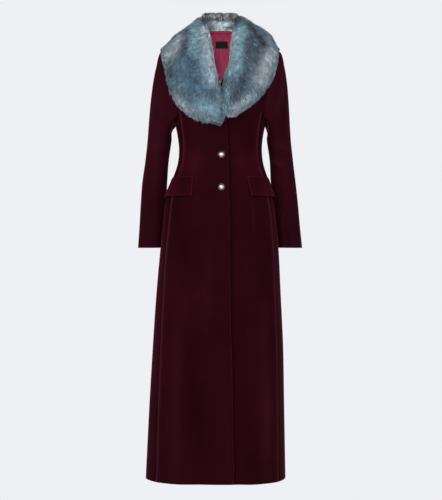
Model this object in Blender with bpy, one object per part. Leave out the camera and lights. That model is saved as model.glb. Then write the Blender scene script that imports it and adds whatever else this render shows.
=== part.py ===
"""Long fitted velvet coat with a fur shawl collar, hollow and filled out as if it were worn.

Metres, +Z up. The front faces -Y and the wearer's right is -X. The origin is the middle of
the neck base, where the wearer's neck and shoulders hold the coat up.
"""
import math

import bmesh
import bpy
import numpy as np

# Cloth and seams
WALL = 0.002
SEAM_GAP = 0.0004
LAYER_GAP = 0.0005
LINING_WALL = 0.001
LABEL_WALL = 0.0008

# Heights of the cut, measured down from the neck base
HEM_Z = -1.381
UNDERARM_Z = -0.268
BREAK_Z = -0.164
SHOULDER_NECK_Z = 0.0

# Neck and shoulder
NECK_HALF = 0.062
BACK_NECK_DEPTH = 0.060
BACK_NECK_RISE = 0.010
SHOULDER_HALF = 0.187
SHOULDER_DROP = 0.066
SHOULDER_BEND = 1.25
SHOULDER_Y = 0.004
CAP_ROUNDING = 2.2
CAP_FLATNESS = 1.7
CHEST_SWELL = 0.40

# Front overlap
UNDERLAP_SET_BACK = 0.0027
UNDERLAP_BLEND = 0.045

# Grid of each kind of panel
HIP_Z = -0.560
LONG_ROWS = 11
WAIST_ROWS = 10
TORSO_ROWS = 9
FRONT_COLUMNS = 10
BACK_COLUMNS = 9
BACK_NECK_COLUMNS = 4
NECK_COLUMN_TAPER = 0.4
SIDE_COLUMNS = 5
SEAM_CROWDING = 1.35
TOP_CROWDING = 1.5

FRONT = -1
BACK = 1
RIGHT = -1
LEFT = 1
STEP = 1e-4
UPWARD = np.array((0.0, 0.0, 1.0))
TORSO_HEIGHT = SHOULDER_NECK_Z - UNDERARM_Z


def read_table(columns, rows):
    """Turn a short table into one array for each named column."""
    return {name: np.array([row[index] for row in rows], dtype=float) for index, name in enumerate(columns)}


# Body rings from the hem to the underarm: half widths to the wearer's right and left, depths in
# front and behind, how square the ring is, and where the front and back seams of the side panel lie
BODY = read_table(
    ("z", "right", "left", "front", "back", "squareness", "right_seam", "left_seam", "back_seam"),
    (
        (-1.381, 0.230, 0.200, 0.146, 0.150, 2.7, 0.860, 0.890, 0.80),
        (-1.141, 0.218, 0.196, 0.140, 0.145, 2.75, 0.875, 0.900, 0.80),
        (-0.970, 0.208, 0.193, 0.135, 0.140, 2.75, 0.885, 0.905, 0.80),
        (-0.820, 0.198, 0.186, 0.130, 0.136, 2.7, 0.895, 0.910, 0.80),
        (-0.673, 0.185, 0.179, 0.124, 0.130, 2.6, 0.905, 0.915, 0.80),
        (-0.586, 0.176, 0.172, 0.119, 0.126, 2.5, 0.900, 0.915, 0.80),
        (-0.524, 0.169, 0.163, 0.114, 0.121, 2.5, 0.895, 0.910, 0.80),
        (-0.462, 0.149, 0.148, 0.106, 0.109, 2.4, 0.900, 0.910, 0.80),
        (-0.415, 0.133, 0.133, 0.098, 0.095, 2.3, 0.905, 0.910, 0.80),
        (-0.369, 0.128, 0.128, 0.095, 0.088, 2.3, 0.905, 0.905, 0.80),
        (-0.330, 0.132, 0.131, 0.101, 0.091, 2.3, 0.890, 0.890, 0.80),
        (-0.268, 0.145, 0.145, 0.115, 0.101, 2.4, 0.870, 0.870, 0.80),
    ),
)

# Free edges of the fronts: the right front ends on top of the left one, and above the break
# both edges part along the roll line of the collar
EDGES = read_table(
    ("z", "right", "left"),
    (
        (-1.381, 0.0406, -0.032),
        (-1.240, 0.0372, -0.034),
        (-1.045, 0.0347, -0.035),
        (-0.896, 0.0307, -0.035),
        (-0.698, 0.0282, -0.035),
        (-0.555, 0.0273, -0.035),
        (-0.450, 0.0248, -0.035),
        (-0.353, 0.0226, -0.034),
        (-0.276, 0.0165, -0.028),
        (-0.215, 0.0070, -0.012),
        (-0.164, -0.0010, 0.005),
        (-0.123, -0.0230, 0.028),
        (-0.052, -0.0430, 0.046),
        (0.000, -0.0620, 0.062),
    ),
)

# Armhole from the underarm line (level 0) to the shoulder point (level 1)
ARMHOLE = read_table(
    ("level", "x"),
    (
        (0.00, 0.1262),
        (0.12, 0.1352),
        (0.35, 0.1475),
        (0.65, 0.1610),
        (0.85, 0.1735),
        (1.00, 0.1870),
    ),
)
ARMHOLE_DIP = 0.012
ARMHOLE_SWING = 0.35

# Soft upright folds of the skirt, by their turn round the body (front is -90 degrees)
FOLDS = read_table(
    ("turn", "spread", "rise", "start_z"),
    (
        (-121.0, 7.0, 0.0045, -0.75),
        (-104.0, 7.0, -0.0030, -0.85),
        (-62.0, 7.0, 0.0050, -0.56),
        (62.0, 6.5, 0.0080, -0.62),
        (78.0, 6.5, -0.0060, -0.70),
        (102.0, 7.0, 0.0070, -0.66),
        (118.0, 6.5, -0.0050, -0.72),
    ),
)

# Sleeve rings below the cap: reach of the outer edge on each side, width, depth and how far
# behind the middle of the body the sleeve hangs
SLEEVES = read_table(
    ("z", "right_outer", "left_outer", "width", "depth", "behind"),
    (
        (-0.672, 0.2605, 0.2580, 0.080, 0.086, 0.075),
        (-0.600, 0.2550, 0.2500, 0.080, 0.089, 0.066),
        (-0.540, 0.2510, 0.2440, 0.080, 0.092, 0.054),
        (-0.468, 0.2445, 0.2350, 0.078, 0.096, 0.036),
        (-0.400, 0.2340, 0.2260, 0.073, 0.099, 0.023),
        (-0.340, 0.2270, 0.2190, 0.075, 0.102, 0.013),
    ),
)
SLEEVE_TOP_RING_Z = -0.340
CUFF_Z = -0.672
SLEEVE_COLUMNS = 20
SLEEVE_CAP_ROWS = 6
SLEEVE_ROWS = 11
SLEEVE_FRONT_SEAM = 0.10
SLEEVE_BACK_SEAM = 0.80
CAP_LEAN = 0.32
CAP_FLANK_LEAN = 0.35
CAP_LOW_LEAN = 1.1
CAP_LOW_REACH = 0.05
CAP_LOW_BACK = 0.110
CAP_ARRIVAL_LEAN = 0.07
CAP_LEAVE = 0.28
CAP_ARRIVE = 0.38

# Fur collar, one row for each station from the lapel tip round to the centre back. The inner
# and outer edges lie on the coat, measured to the own side of the middle; behind is 0 on the
# front and 1 on the back. Overhang and bulge are how far the fur stands over its two edges.
COLLAR_COLUMNS = (
    "inner_m", "inner_z", "outer_m", "outer_z", "behind", "overhang", "bulge", "crest", "middle", "edge",
)
COLLAR_RIGHT_LAPEL = (
    (-0.0080, -0.284, 0.004, -0.303, 0, 0.002, 0.003, 0.010, 0.011, 0.006),
    (-0.0078, -0.272, 0.044, -0.292, 0, 0.002, 0.006, 0.017, 0.020, 0.011),
    (-0.0050, -0.242, 0.085, -0.273, 0, 0.002, 0.007, 0.021, 0.025, 0.014),
    (-0.0010, -0.202, 0.122, -0.234, 0, 0.002, 0.008, 0.023, 0.027, 0.015),
    (0.0095, -0.166, 0.142, -0.188, 0, 0.003, 0.010, 0.024, 0.028, 0.016),
    (0.0250, -0.123, 0.152, -0.134, 0, 0.008, 0.012, 0.026, 0.029, 0.016),
    (0.0420, -0.060, 0.164, -0.093, 0, 0.015, 0.012, 0.030, 0.028, 0.016),
    (0.0560, -0.018, 0.171, -0.070, 0, 0.016, 0.009, 0.036, 0.027, 0.015),
)
COLLAR_LEFT_LAPEL = (
    (0.0165, -0.272, 0.032, -0.280, 0, 0.001, 0.003, 0.010, 0.011, 0.006),
    (0.0155, -0.264, 0.054, -0.269, 0, 0.001, 0.006, 0.016, 0.019, 0.011),
    (0.0140, -0.240, 0.090, -0.238, 0, 0.001, 0.007, 0.020, 0.024, 0.014),
    (0.0120, -0.206, 0.118, -0.206, 0, 0.001, 0.008, 0.022, 0.026, 0.015),
    (0.0110, -0.168, 0.137, -0.174, 0, 0.002, 0.009, 0.024, 0.028, 0.016),
    (0.0320, -0.123, 0.151, -0.132, 0, 0.008, 0.012, 0.026, 0.029, 0.016),
    (0.0460, -0.060, 0.162, -0.093, 0, 0.014, 0.011, 0.030, 0.030, 0.016),
    (0.0570, -0.018, 0.168, -0.070, 0, 0.016, 0.008, 0.036, 0.031, 0.015),
)
COLLAR_BACK = (
    (0.0630, 0.000, 0.171, -0.058, 1, 0.017, 0.007, 0.049, 0.031, 0.015),
    (0.0560, 0.002, 0.160, -0.086, 1, 0.017, 0.008, 0.053, 0.031, 0.016),
    (0.0400, 0.006, 0.125, -0.124, 1, 0.019, 0.008, 0.051, 0.030, 0.016),
    (0.0190, 0.009, 0.062, -0.146, 1, 0.021, 0.008, 0.047, 0.029, 0.016),
    (0.0004, 0.010, 0.0004, -0.150, 1, 0.020, 0.008, 0.047, 0.029, 0.016),
)
COLLAR_RIGHT = read_table(COLLAR_COLUMNS, COLLAR_RIGHT_LAPEL + COLLAR_BACK)
COLLAR_LEFT = read_table(COLLAR_COLUMNS, COLLAR_LEFT_LAPEL + COLLAR_BACK)
COLLAR_STATIONS = 25
COLLAR_BASE_POINTS = 9
COLLAR_TOP_POINTS = 13
COLLAR_SEAT = 0.0008
COLLAR_LIFT = 0.0030
COLLAR_STAND_LIFT = 0.0045
STAND_START = 4.0
STAND_END = 8.5

# Pocket flaps
FLAP_TOP_Z = -0.456
FLAP_BOTTOM_Z = -0.512
FLAP_WALL = 0.0025
FLAP_FLARE = 0.0060
FLAP_ROWS = 5
FLAP_COLUMNS = 10
FLAP_INNER_X = {RIGHT: (0.084, 0.084), LEFT: (0.081, 0.091)}
FLAP_END_Y = -0.012

# Buttons
BUTTON_X = 0.003
BUTTON_ZS = {"button_upper": -0.390, "button_lower": -0.489}
BUTTON_SEATS = {"button_upper": 0.0013, "button_lower": 0.0005}
BUTTON_SEGMENTS = 24
BUTTON_PROFILE = read_table(
    ("radius", "height"),
    (
        (0.0095, 0.0000),
        (0.0118, 0.0014),
        (0.0118, 0.0030),
        (0.0104, 0.0038),
        (0.0096, 0.0032),
        (0.0082, 0.0054),
        (0.0050, 0.0074),
        (0.0020, 0.0082),
    ),
)

# Lining and label at the back of the neck
LINING_ROWS = (0.08, 1.01)
LINING_COLUMNS = 6
LABEL_GAP = 0.0010
LABEL_SIZE = (0.040, 0.021)
LABEL_CENTRE = (0.004, -0.030)
LABEL_GRID = (4, 3)

COLOURS = {
    "velvet": ((0.045, 0.004, 0.010), 0.85, 0.0),
    "fur": ((0.20, 0.29, 0.37), 0.80, 0.0),
    "lining": ((0.30, 0.025, 0.075), 0.45, 0.0),
    "label": ((0.010, 0.010, 0.012), 0.60, 0.0),
    "button": ((0.72, 0.72, 0.74), 0.18, 1.0),
}


def clear_scene():
    """Start from an empty scene."""
    for item in list(bpy.data.objects):
        bpy.data.objects.remove(item, do_unlink=True)


def unit(vector):
    """Vector of length one."""
    return vector / max(np.linalg.norm(vector), 1e-12)


def smooth(at, places, values):
    """Read a table column on a smooth curve through its rows."""
    slopes = np.gradient(values, places)
    index = int(np.clip(np.searchsorted(places, at) - 1, 0, len(places) - 2))
    span = places[index + 1] - places[index]
    t = float(np.clip((at - places[index]) / span, 0.0, 1.0))
    return (
        (1 + 2 * t) * (1 - t) ** 2 * values[index]
        + t * (1 - t) ** 2 * span * slopes[index]
        + t * t * (3 - 2 * t) * values[index + 1]
        + t * t * (t - 1) * span * slopes[index + 1]
    )


def ease(value):
    """Smooth step from 0 to 1."""
    t = min(max(value, 0.0), 1.0)
    return t * t * (3 - 2 * t)


def body(z, name):
    """A value of the body ring at a height."""
    return smooth(z, BODY["z"], BODY[name])


def half_width(z, side):
    """Half width of the body ring on one side."""
    return body(z, "right" if side == RIGHT else "left")


def ring_reach(share, squareness):
    """Share of the depth that is left at a share of the half width, on a superellipse."""
    return (1.0 - min(abs(share), 1.0) ** squareness) ** (1.0 / squareness)


def fold_rise(z, across, deep):
    """How far the skirt folds stand out, at a turn round the ring given by its two shares."""
    turn = math.degrees(math.atan2(deep, across))
    rise = 0.0
    for fold in range(len(FOLDS["turn"])):
        start = FOLDS["start_z"][fold]
        growth = ease((start - z) / (start - HEM_Z))
        offset = (turn - FOLDS["turn"][fold]) / FOLDS["spread"][fold]
        rise += FOLDS["rise"][fold] * growth * math.exp(-offset * offset)
    return rise


def ring_y(x, z, face):
    """Depth of the front or back surface below the underarm."""
    half = half_width(z, RIGHT if x < 0 else LEFT)
    reach = ring_reach(x / half, body(z, "squareness"))
    depth = body(z, "front" if face == FRONT else "back")
    return face * (depth * reach + fold_rise(z, x / half, face * reach))


def ring_x(y, z, side):
    """Width of the side surface below the underarm."""
    depth = body(z, "front" if y < 0 else "back")
    reach = ring_reach(y / depth, body(z, "squareness"))
    return side * (half_width(z, side) * reach + fold_rise(z, side * reach, y / depth))


def armhole_x(level):
    """Half width of the upper body at the armhole seam."""
    return smooth(level, ARMHOLE["level"], ARMHOLE["x"])


def top_line(x, face):
    """Depth and height of the shoulder seam, and of the neck edge between the shoulders."""
    share = (abs(x) - NECK_HALF) / (SHOULDER_HALF - NECK_HALF)
    if share >= 0:
        return SHOULDER_Y, SHOULDER_NECK_Z - SHOULDER_DROP * share ** SHOULDER_BEND
    if face == FRONT:
        return SHOULDER_Y, SHOULDER_NECK_Z
    inside = 1.0 - (x / NECK_HALF) ** 2
    depth = SHOULDER_Y + (BACK_NECK_DEPTH - SHOULDER_Y) * math.sqrt(inside)
    return depth, SHOULDER_NECK_Z + BACK_NECK_RISE * inside


def torso_point(x, level, face):
    """Point of the upper body, from the underarm line (level 0) to the top line (level 1)."""
    top_y, top_z = top_line(x, face)
    chest_x = x * armhole_x(0.0) / armhole_x(level)
    chest_y = ring_y(chest_x, UNDERARM_Z, face)
    cap = max(0.0, 1.0 - level ** CAP_ROUNDING) ** (1.0 / CAP_FLATNESS)
    swell = 1.0 + CHEST_SWELL * level * (1.0 - level) ** 2
    depth = top_y + (chest_y - top_y) * cap * swell
    return np.array((x, depth, UNDERARM_Z + level * (top_z - UNDERARM_Z)))


def coat_point(x, level, face):
    """Point of the front or back surface; a negative level runs on below the underarm."""
    if level >= 0.0:
        return torso_point(x, level, face)
    z = UNDERARM_Z + level * TORSO_HEIGHT
    return np.array((x, ring_y(x, z, face), z))


def coat_normal(x, level, face):
    """Outward direction of the front or back surface."""
    low = level - STEP if level > 0.5 else level
    along = coat_point(x, low + STEP, face) - coat_point(x, low, face)
    across = coat_point(x + STEP, low, face) - coat_point(x - STEP, low, face)
    return unit(np.cross(across, along)) * -face


def side_normal(y, z, side):
    """Outward direction of the side surface."""
    slope_y = (ring_x(y + STEP, z, side) - ring_x(y - STEP, z, side)) / (2 * STEP)
    slope_z = (ring_x(y, z + STEP, side) - ring_x(y, z - STEP, side)) / (2 * STEP)
    return unit(np.array((1.0, -slope_y, -slope_z))) * side


def front_level(x, z):
    """Level of a point on the front or back with a given height."""
    if z < UNDERARM_Z:
        return (z - UNDERARM_Z) / TORSO_HEIGHT
    top_z = top_line(x, BACK)[1]
    return min(1.0, (z - UNDERARM_Z) / (top_z - UNDERARM_Z))


def make_material(name, kind):
    """Plain finish for one piece."""
    colour, roughness, metallic = COLOURS[kind]
    material = bpy.data.materials.new(name + "_finish")
    material.use_nodes = True
    shader = material.node_tree.nodes["Principled BSDF"]
    shader.inputs["Base Color"].default_value = (*colour, 1.0)
    shader.inputs["Roughness"].default_value = roughness
    shader.inputs["Metallic"].default_value = metallic
    material.diffuse_color = (*colour, 1.0)
    return material


def add_object(name, kind, points, faces):
    """Make one named closed piece from its points and faces."""
    mesh = bpy.data.meshes.new(name)
    mesh.from_pydata([tuple(point) for point in points], [], faces)
    shape = bmesh.new()
    shape.from_mesh(mesh)
    bmesh.ops.recalc_face_normals(shape, faces=shape.faces)
    bmesh.ops.triangulate(shape, faces=shape.faces)
    shape.to_mesh(mesh)
    shape.free()
    mesh.materials.append(make_material(name, kind))
    mesh.shade_smooth()
    mesh.set_sharp_from_angle(angle=math.radians(40.0))
    item = bpy.data.objects.new(name, mesh)
    bpy.context.scene.collection.objects.link(item)
    return item


def add_shell(name, kind, outer, inner):
    """Close a wall between two grids of points."""
    rows, columns = outer.shape[:2]
    points = np.concatenate((outer.reshape(-1, 3), inner.reshape(-1, 3)))
    layer = rows * columns

    def at(row, column, side):
        return side * layer + row * columns + column

    faces = []
    for row in range(rows - 1):
        for column in range(columns - 1):
            corners = ((row, column), (row, column + 1), (row + 1, column + 1), (row + 1, column))
            faces.append([at(r, c, 0) for r, c in corners])
            faces.append([at(r, c, 1) for r, c in reversed(corners)])
    rim = [(0, column) for column in range(columns)]
    rim += [(row, columns - 1) for row in range(1, rows)]
    rim += [(rows - 1, column) for column in range(columns - 2, -1, -1)]
    rim += [(row, 0) for row in range(rows - 2, 0, -1)]
    for here, there in zip(rim, rim[1:] + rim[:1]):
        faces.append([at(*here, 0), at(*here, 1), at(*there, 1), at(*there, 0)])
    return add_object(name, kind, points, faces)


def pull_in(grid, row_start, row_end, column_start, column_end):
    """Move the chosen borders of a grid inwards by half a seam gap."""
    moved = grid.copy()
    half_gap = SEAM_GAP / 2
    if row_start:
        moved[0] += [half_gap * unit(b - a) for a, b in zip(grid[0], grid[1])]
    if row_end:
        moved[-1] += [half_gap * unit(b - a) for a, b in zip(grid[-1], grid[-2])]
    if column_start:
        moved[:, 0] += [half_gap * unit(b - a) for a, b in zip(grid[:, 0], grid[:, 1])]
    if column_end:
        moved[:, -1] += [half_gap * unit(b - a) for a, b in zip(grid[:, -1], grid[:, -2])]
    return moved


def skirt_shares():
    """Shares of the way from the hem to the underarm, with the rows closer round the waist."""
    hip = (HIP_Z - HEM_Z) / (UNDERARM_Z - HEM_Z)
    return np.concatenate((np.linspace(0.0, hip, LONG_ROWS + 1), np.linspace(hip, 1.0, WAIST_ROWS + 1)[1:]))


def panel_levels():
    """Levels of a panel's rows from the hem to the top line."""
    hem_level = (HEM_Z - UNDERARM_Z) / TORSO_HEIGHT
    skirt = [hem_level * (1.0 - share) for share in skirt_shares()[:-1]]
    torso = [1.0 - (1.0 - row / TORSO_ROWS) ** TOP_CROWDING for row in range(TORSO_ROWS + 1)]
    return skirt + torso


def level_height(level):
    """Height of a level at the neck."""
    return UNDERARM_Z + level * TORSO_HEIGHT


def outer_x(level, side, seam):
    """Where a front or back panel ends: at its side seam, and above that at the armhole."""
    if level >= 0.0:
        return side * armhole_x(level)
    z = level_height(level)
    return side * half_width(z, side) * body(z, seam)


def underlap(x, z):
    """How far the left front lies behind the common front surface."""
    edge = smooth(z, EDGES["z"], EDGES["right"])
    near = ease((edge + UNDERLAP_BLEND - x) / (UNDERLAP_BLEND - 0.005))
    below_break = ease((BREAK_Z + 0.03 - z) / 0.03)
    return UNDERLAP_SET_BACK * near * below_break


def make_front(side):
    """One front, from its free edge to the side-front seam and the armhole."""
    edge_name = "right" if side == RIGHT else "left"
    levels = panel_levels()
    outer = np.zeros((len(levels), FRONT_COLUMNS, 3))
    inner = np.zeros_like(outer)
    for row, level in enumerate(levels):
        z = level_height(level)
        start = smooth(z, EDGES["z"], EDGES[edge_name])
        end = outer_x(level, side, edge_name + "_seam")
        for column in range(FRONT_COLUMNS):
            share = 1.0 - (1.0 - column / (FRONT_COLUMNS - 1)) ** SEAM_CROWDING
            x = start + (end - start) * share
            point = coat_point(x, level, FRONT)
            if side == LEFT:
                point[1] += underlap(x, z)
            outer[row, column] = point
            inner[row, column] = point - coat_normal(x, level, FRONT) * WALL
    outer = pull_in(outer, False, True, False, True)
    inner = pull_in(inner, False, True, False, True)
    return add_shell("front_" + edge_name, "velvet", outer, inner)


def back_end(level, side):
    """Where a back ends: at the side-back seam, and above that at the armhole."""
    if level < 0.0:
        return outer_x(level, side, "back_seam")
    return side * (armhole_x(level) - back_seam_inset(side) * ease(1.0 - level / ARMHOLE_SWING))


def back_columns(level, side):
    """Places of a back's columns from the centre-back seam; one of them runs to the side of the neck."""
    end = back_end(level, side)
    neck = side * NECK_HALF * (abs(end) / SHOULDER_HALF) ** NECK_COLUMN_TAPER
    near = neck * np.sin(np.linspace(0.0, math.pi / 2, BACK_NECK_COLUMNS + 1))
    far = np.linspace(neck, end, BACK_COLUMNS - BACK_NECK_COLUMNS)
    return np.concatenate((near, far[1:]))


def make_back(side):
    """One back, from the centre-back seam to the side-back seam and the armhole."""
    name = "right" if side == RIGHT else "left"
    levels = panel_levels()
    outer = np.zeros((len(levels), BACK_COLUMNS, 3))
    inner = np.zeros_like(outer)
    for row, level in enumerate(levels):
        for column, x in enumerate(back_columns(level, side)):
            outer[row, column] = coat_point(x, level, BACK)
            inner[row, column] = outer[row, column] - coat_normal(x, level, BACK) * WALL
    outer = pull_in(outer, False, True, True, True)
    inner = pull_in(inner, False, True, True, True)
    return add_shell("back_" + name, "velvet", outer, inner)


def back_seam_inset(side):
    """How much further in the back seam of the side panel lies than its front seam, at the underarm."""
    return armhole_x(0.0) - half_width(UNDERARM_Z, side) * body(UNDERARM_Z, "back_seam")


def side_seam_depths(z, side):
    """Depths of the front and back seams of a side panel."""
    name = "right_seam" if side == RIGHT else "left_seam"
    squareness = body(z, "squareness")
    front = -body(z, "front") * ring_reach(body(z, name), squareness)
    back = body(z, "back") * ring_reach(body(z, "back_seam"), squareness)
    return front, back


def side_panel_point(share, z, side):
    """Point of a side panel between its front seam (0) and back seam (1), with its direction."""
    front, back = side_seam_depths(z, side)
    y = front + (back - front) * share
    return np.array((ring_x(y, z, side), y, z)), side_normal(y, z, side)


def side_top(share):
    """Height of the top edge of a side panel, where the armhole dips at the underarm."""
    return UNDERARM_Z - ARMHOLE_DIP * (1.0 - (2.0 * share - 1.0) ** 2)


def make_side(side):
    """One side panel from the hem to the underarm."""
    heights = skirt_shares()
    outer = np.zeros((len(heights), SIDE_COLUMNS, 3))
    inner = np.zeros_like(outer)
    for row, height in enumerate(heights):
        for column in range(SIDE_COLUMNS):
            share = column / (SIDE_COLUMNS - 1)
            z = HEM_Z + (side_top(share) - HEM_Z) * height
            point, normal = side_panel_point(share, z, side)
            outer[row, column] = point
            inner[row, column] = point - normal * WALL
    outer = pull_in(outer, False, True, True, True)
    inner = pull_in(inner, False, True, True, True)
    return add_shell("side_right" if side == RIGHT else "side_left", "velvet", outer, inner)


def armhole_loop(side, count):
    """Points round the armhole from the underarm forwards over the shoulder, evenly spaced."""
    path = []
    for share in np.linspace(0.5, 0.0, 8):
        path.append(side_panel_point(share, side_top(share), side)[0])
    for level in np.linspace(0.03, 1.0, 30):
        path.append(coat_point(side * armhole_x(level), level, FRONT))
    for level in np.linspace(0.99, 0.03, 30):
        path.append(coat_point(back_end(level, side), level, BACK))
    for share in np.linspace(1.0, 0.5, 8):
        path.append(side_panel_point(share, side_top(share), side)[0])
    path = np.array(path)
    lengths = np.concatenate(([0.0], np.cumsum(np.linalg.norm(np.diff(path, axis=0), axis=1))))
    wanted = np.linspace(0.0, lengths[-1], count + 1)
    return np.stack([np.interp(wanted, lengths, path[:, axis]) for axis in range(3)], axis=1)


def sleeve_ring(z, side, count):
    """Points round the sleeve at a height, from its inner side forwards."""
    outer = smooth(z, SLEEVES["z"], SLEEVES["right_outer" if side == RIGHT else "left_outer"])
    half = smooth(z, SLEEVES["z"], SLEEVES["width"]) / 2
    deep = smooth(z, SLEEVES["z"], SLEEVES["depth"]) / 2
    behind = smooth(z, SLEEVES["z"], SLEEVES["behind"])
    turns = np.linspace(0.0, 2 * math.pi, count + 1)
    x = side * (outer - half - half * np.cos(turns))
    y = behind - deep * np.sin(turns)
    return np.stack((x, y, np.full(count + 1, z)), axis=1)


def sleeve_grid(side):
    """Outer points of a whole sleeve, a row for each ring from the armhole to the cuff."""
    start = armhole_loop(side, SLEEVE_COLUMNS)
    start[:, 0] += side * LAYER_GAP * 1.2
    first = sleeve_ring(SLEEVE_TOP_RING_Z, side, SLEEVE_COLUMNS)
    rows = []
    for row in range(SLEEVE_CAP_ROWS):
        t = row / SLEEVE_CAP_ROWS
        ring = []
        for column in range(SLEEVE_COLUMNS + 1):
            flank = math.sin(2 * math.pi * column / SLEEVE_COLUMNS) ** 2
            a = start[column]
            d = first[column]
            low = ease(1.0 - (a[2] - UNDERARM_Z) / CAP_LOW_REACH) * ease(1.0 - a[1] / CAP_LOW_BACK)
            lean = CAP_LEAN + CAP_FLANK_LEAN * flank + CAP_LOW_LEAN * low
            leave = unit(np.array((side * lean, 0.0, -1.0)))
            arrive = unit(np.array((side * CAP_ARRIVAL_LEAN, 0.0, -1.0)))
            length = np.linalg.norm(d - a)
            b = a + leave * length * CAP_LEAVE
            c = d - arrive * length * CAP_ARRIVE
            ring.append((1 - t) ** 3 * a + 3 * t * (1 - t) ** 2 * b + 3 * t * t * (1 - t) * c + t ** 3 * d)
        rows.append(ring)
    for row in range(SLEEVE_ROWS + 1):
        z = SLEEVE_TOP_RING_Z + (CUFF_Z - SLEEVE_TOP_RING_Z) * row / SLEEVE_ROWS
        rows.append(sleeve_ring(z, side, SLEEVE_COLUMNS))
    return np.array(rows)


def tube_inside(outer, side):
    """Inner points of a sleeve; at the armhole the wall stays clear of the body panels."""
    rows, columns = outer.shape[:2]
    inner = np.zeros_like(outer)
    for row in range(rows):
        for column in range(columns):
            up = outer[max(row - 1, 0), column]
            down = outer[min(row + 1, rows - 1), column]
            ahead = outer[row, (column + 1) % (columns - 1)]
            behind = outer[row, (column - 1) % (columns - 1)]
            inward = unit(np.cross(down - up, ahead - behind)) * -side
            if row == 0:
                inward[0] = side * max(inward[0] * side, 0.0)
                inward = unit(inward)
            inner[row, column] = outer[row, column] + inward * WALL
    return inner


def make_sleeve(side):
    """Upper and under sleeve of one side, parted at the two long seams."""
    name = "right" if side == RIGHT else "left"
    outer = sleeve_grid(side)
    inner = tube_inside(outer, side)
    front = round(SLEEVE_COLUMNS * SLEEVE_FRONT_SEAM)
    back = round(SLEEVE_COLUMNS * SLEEVE_BACK_SEAM)
    upper = list(range(front, back + 1))
    under = list(range(back, SLEEVE_COLUMNS)) + list(range(0, front + 1))
    for label, columns in (("sleeve_upper_", upper), ("sleeve_under_", under)):
        skin = pull_in(outer[:, columns], False, False, True, True)
        back_skin = pull_in(inner[:, columns], False, False, True, True)
        add_shell(label + name, "velvet", skin, back_skin)


def station_value(table, name, station):
    """A collar value at a place along its stations."""
    return smooth(station, np.arange(len(table[name]), dtype=float), table[name])


def signed_level(table, name, station):
    """Distance from the top line along the coat: negative on the front, positive on the back."""
    wraps = []
    for row in range(len(table["behind"])):
        level = front_level(table[name + "_m"][row], table[name + "_z"][row])
        wraps.append((1.0 - level) * (1.0 if table["behind"][row] else -1.0))
    return smooth(station, np.arange(len(wraps), dtype=float), np.array(wraps))


def collar_seat(table, side, station, share):
    """Point on the coat under the collar, and the outward direction there."""
    inner_m = station_value(table, "inner_m", station)
    outer_m = station_value(table, "outer_m", station)
    inner_wrap = signed_level(table, "inner", station)
    outer_wrap = signed_level(table, "outer", station)
    x = side * (inner_m + (outer_m - inner_m) * share)
    wrap = inner_wrap + (outer_wrap - inner_wrap) * share
    if station >= np.argmax(table["behind"]):
        wrap = max(wrap, 0.0)
    face = FRONT if wrap < 0.0 else BACK
    level = 1.0 - abs(wrap)
    return coat_point(x, level, face), coat_normal(x, level, face)


def through_points(controls, count):
    """Evenly spaced points of a smooth curve through control points."""
    controls = np.array(controls)
    places = np.arange(len(controls), dtype=float)
    wanted = np.linspace(0.0, places[-1], count)
    return np.array([[smooth(t, places, controls[:, axis]) for axis in range(3)] for t in wanted])


def collar_section(table, side, station):
    """Closed outline of the collar at one station: its seat on the coat, then over the fur."""
    last = len(table["behind"]) - 1
    standing = ease((station - STAND_START) / (STAND_END - STAND_START))
    seat = []
    normals = []
    for share in np.linspace(0.0, 1.0, COLLAR_BASE_POINTS):
        point, normal = collar_seat(table, side, station, share)
        near_neck = standing * (1.0 - share) ** 2
        normal = unit(normal * (1.0 - near_neck) + UPWARD * near_neck)
        lift = COLLAR_SEAT + COLLAR_LIFT * math.sin(math.pi * share) + COLLAR_STAND_LIFT * standing
        seat.append(point + normal * lift)
        normals.append(normal)
    seat = np.array(seat)
    inward = unit(seat[0] - seat[1])
    outward = unit(seat[-1] - seat[-2])
    if standing > 0.0:
        neck_axis = np.array((0.0, seat[0][1] * (1.0 - standing), seat[0][2]))
        inward = unit(inward * (1.0 - standing) + unit(neck_axis - seat[0]) * standing)
    if abs(station - last) < 1e-6:
        inward[0] = 0.0
        outward[0] = 0.0
    up = unit(normals[0] * (1.0 - standing) + UPWARD * standing)
    overhang = station_value(table, "overhang", station)
    bulge = station_value(table, "bulge", station)
    crest = station_value(table, "crest", station)
    middle = station_value(table, "middle", station)
    edge = station_value(table, "edge", station)
    half = len(seat) // 2
    controls = [
        seat[-1],
        seat[-1] + outward * bulge + normals[-1] * edge * 0.55,
        seat[-2] + normals[-2] * edge * 1.15,
        seat[half + 1] + normals[half + 1] * middle * 0.97,
        seat[half - 1] + normals[half - 1] * middle,
        seat[0] + inward * overhang * 0.25 + up * crest,
        seat[0] + inward * overhang + up * crest * 0.62,
        seat[0] + inward * overhang * 0.75 + up * crest * 0.2,
        seat[0],
    ]
    top = through_points(controls, COLLAR_TOP_POINTS)
    return np.concatenate((seat, top[1:-1]))


def make_collar(name, table, side):
    """One half of the shawl collar as a thick body that reaches as far as the fur does."""
    last = len(table["behind"]) - 1
    sections = [
        collar_section(table, side, last * row / (COLLAR_STATIONS - 1)) for row in range(COLLAR_STATIONS)
    ]
    count = len(sections[0])
    points = np.concatenate(sections)
    faces = [list(range(count)), [len(points) - count + place for place in range(count)]]
    for row in range(COLLAR_STATIONS - 1):
        for place in range(count):
            here = row * count + place
            there = row * count + (place + 1) % count
            faces.append([here, there, there + count, here + count])
    return add_object(name, "fur", points, faces)


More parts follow.
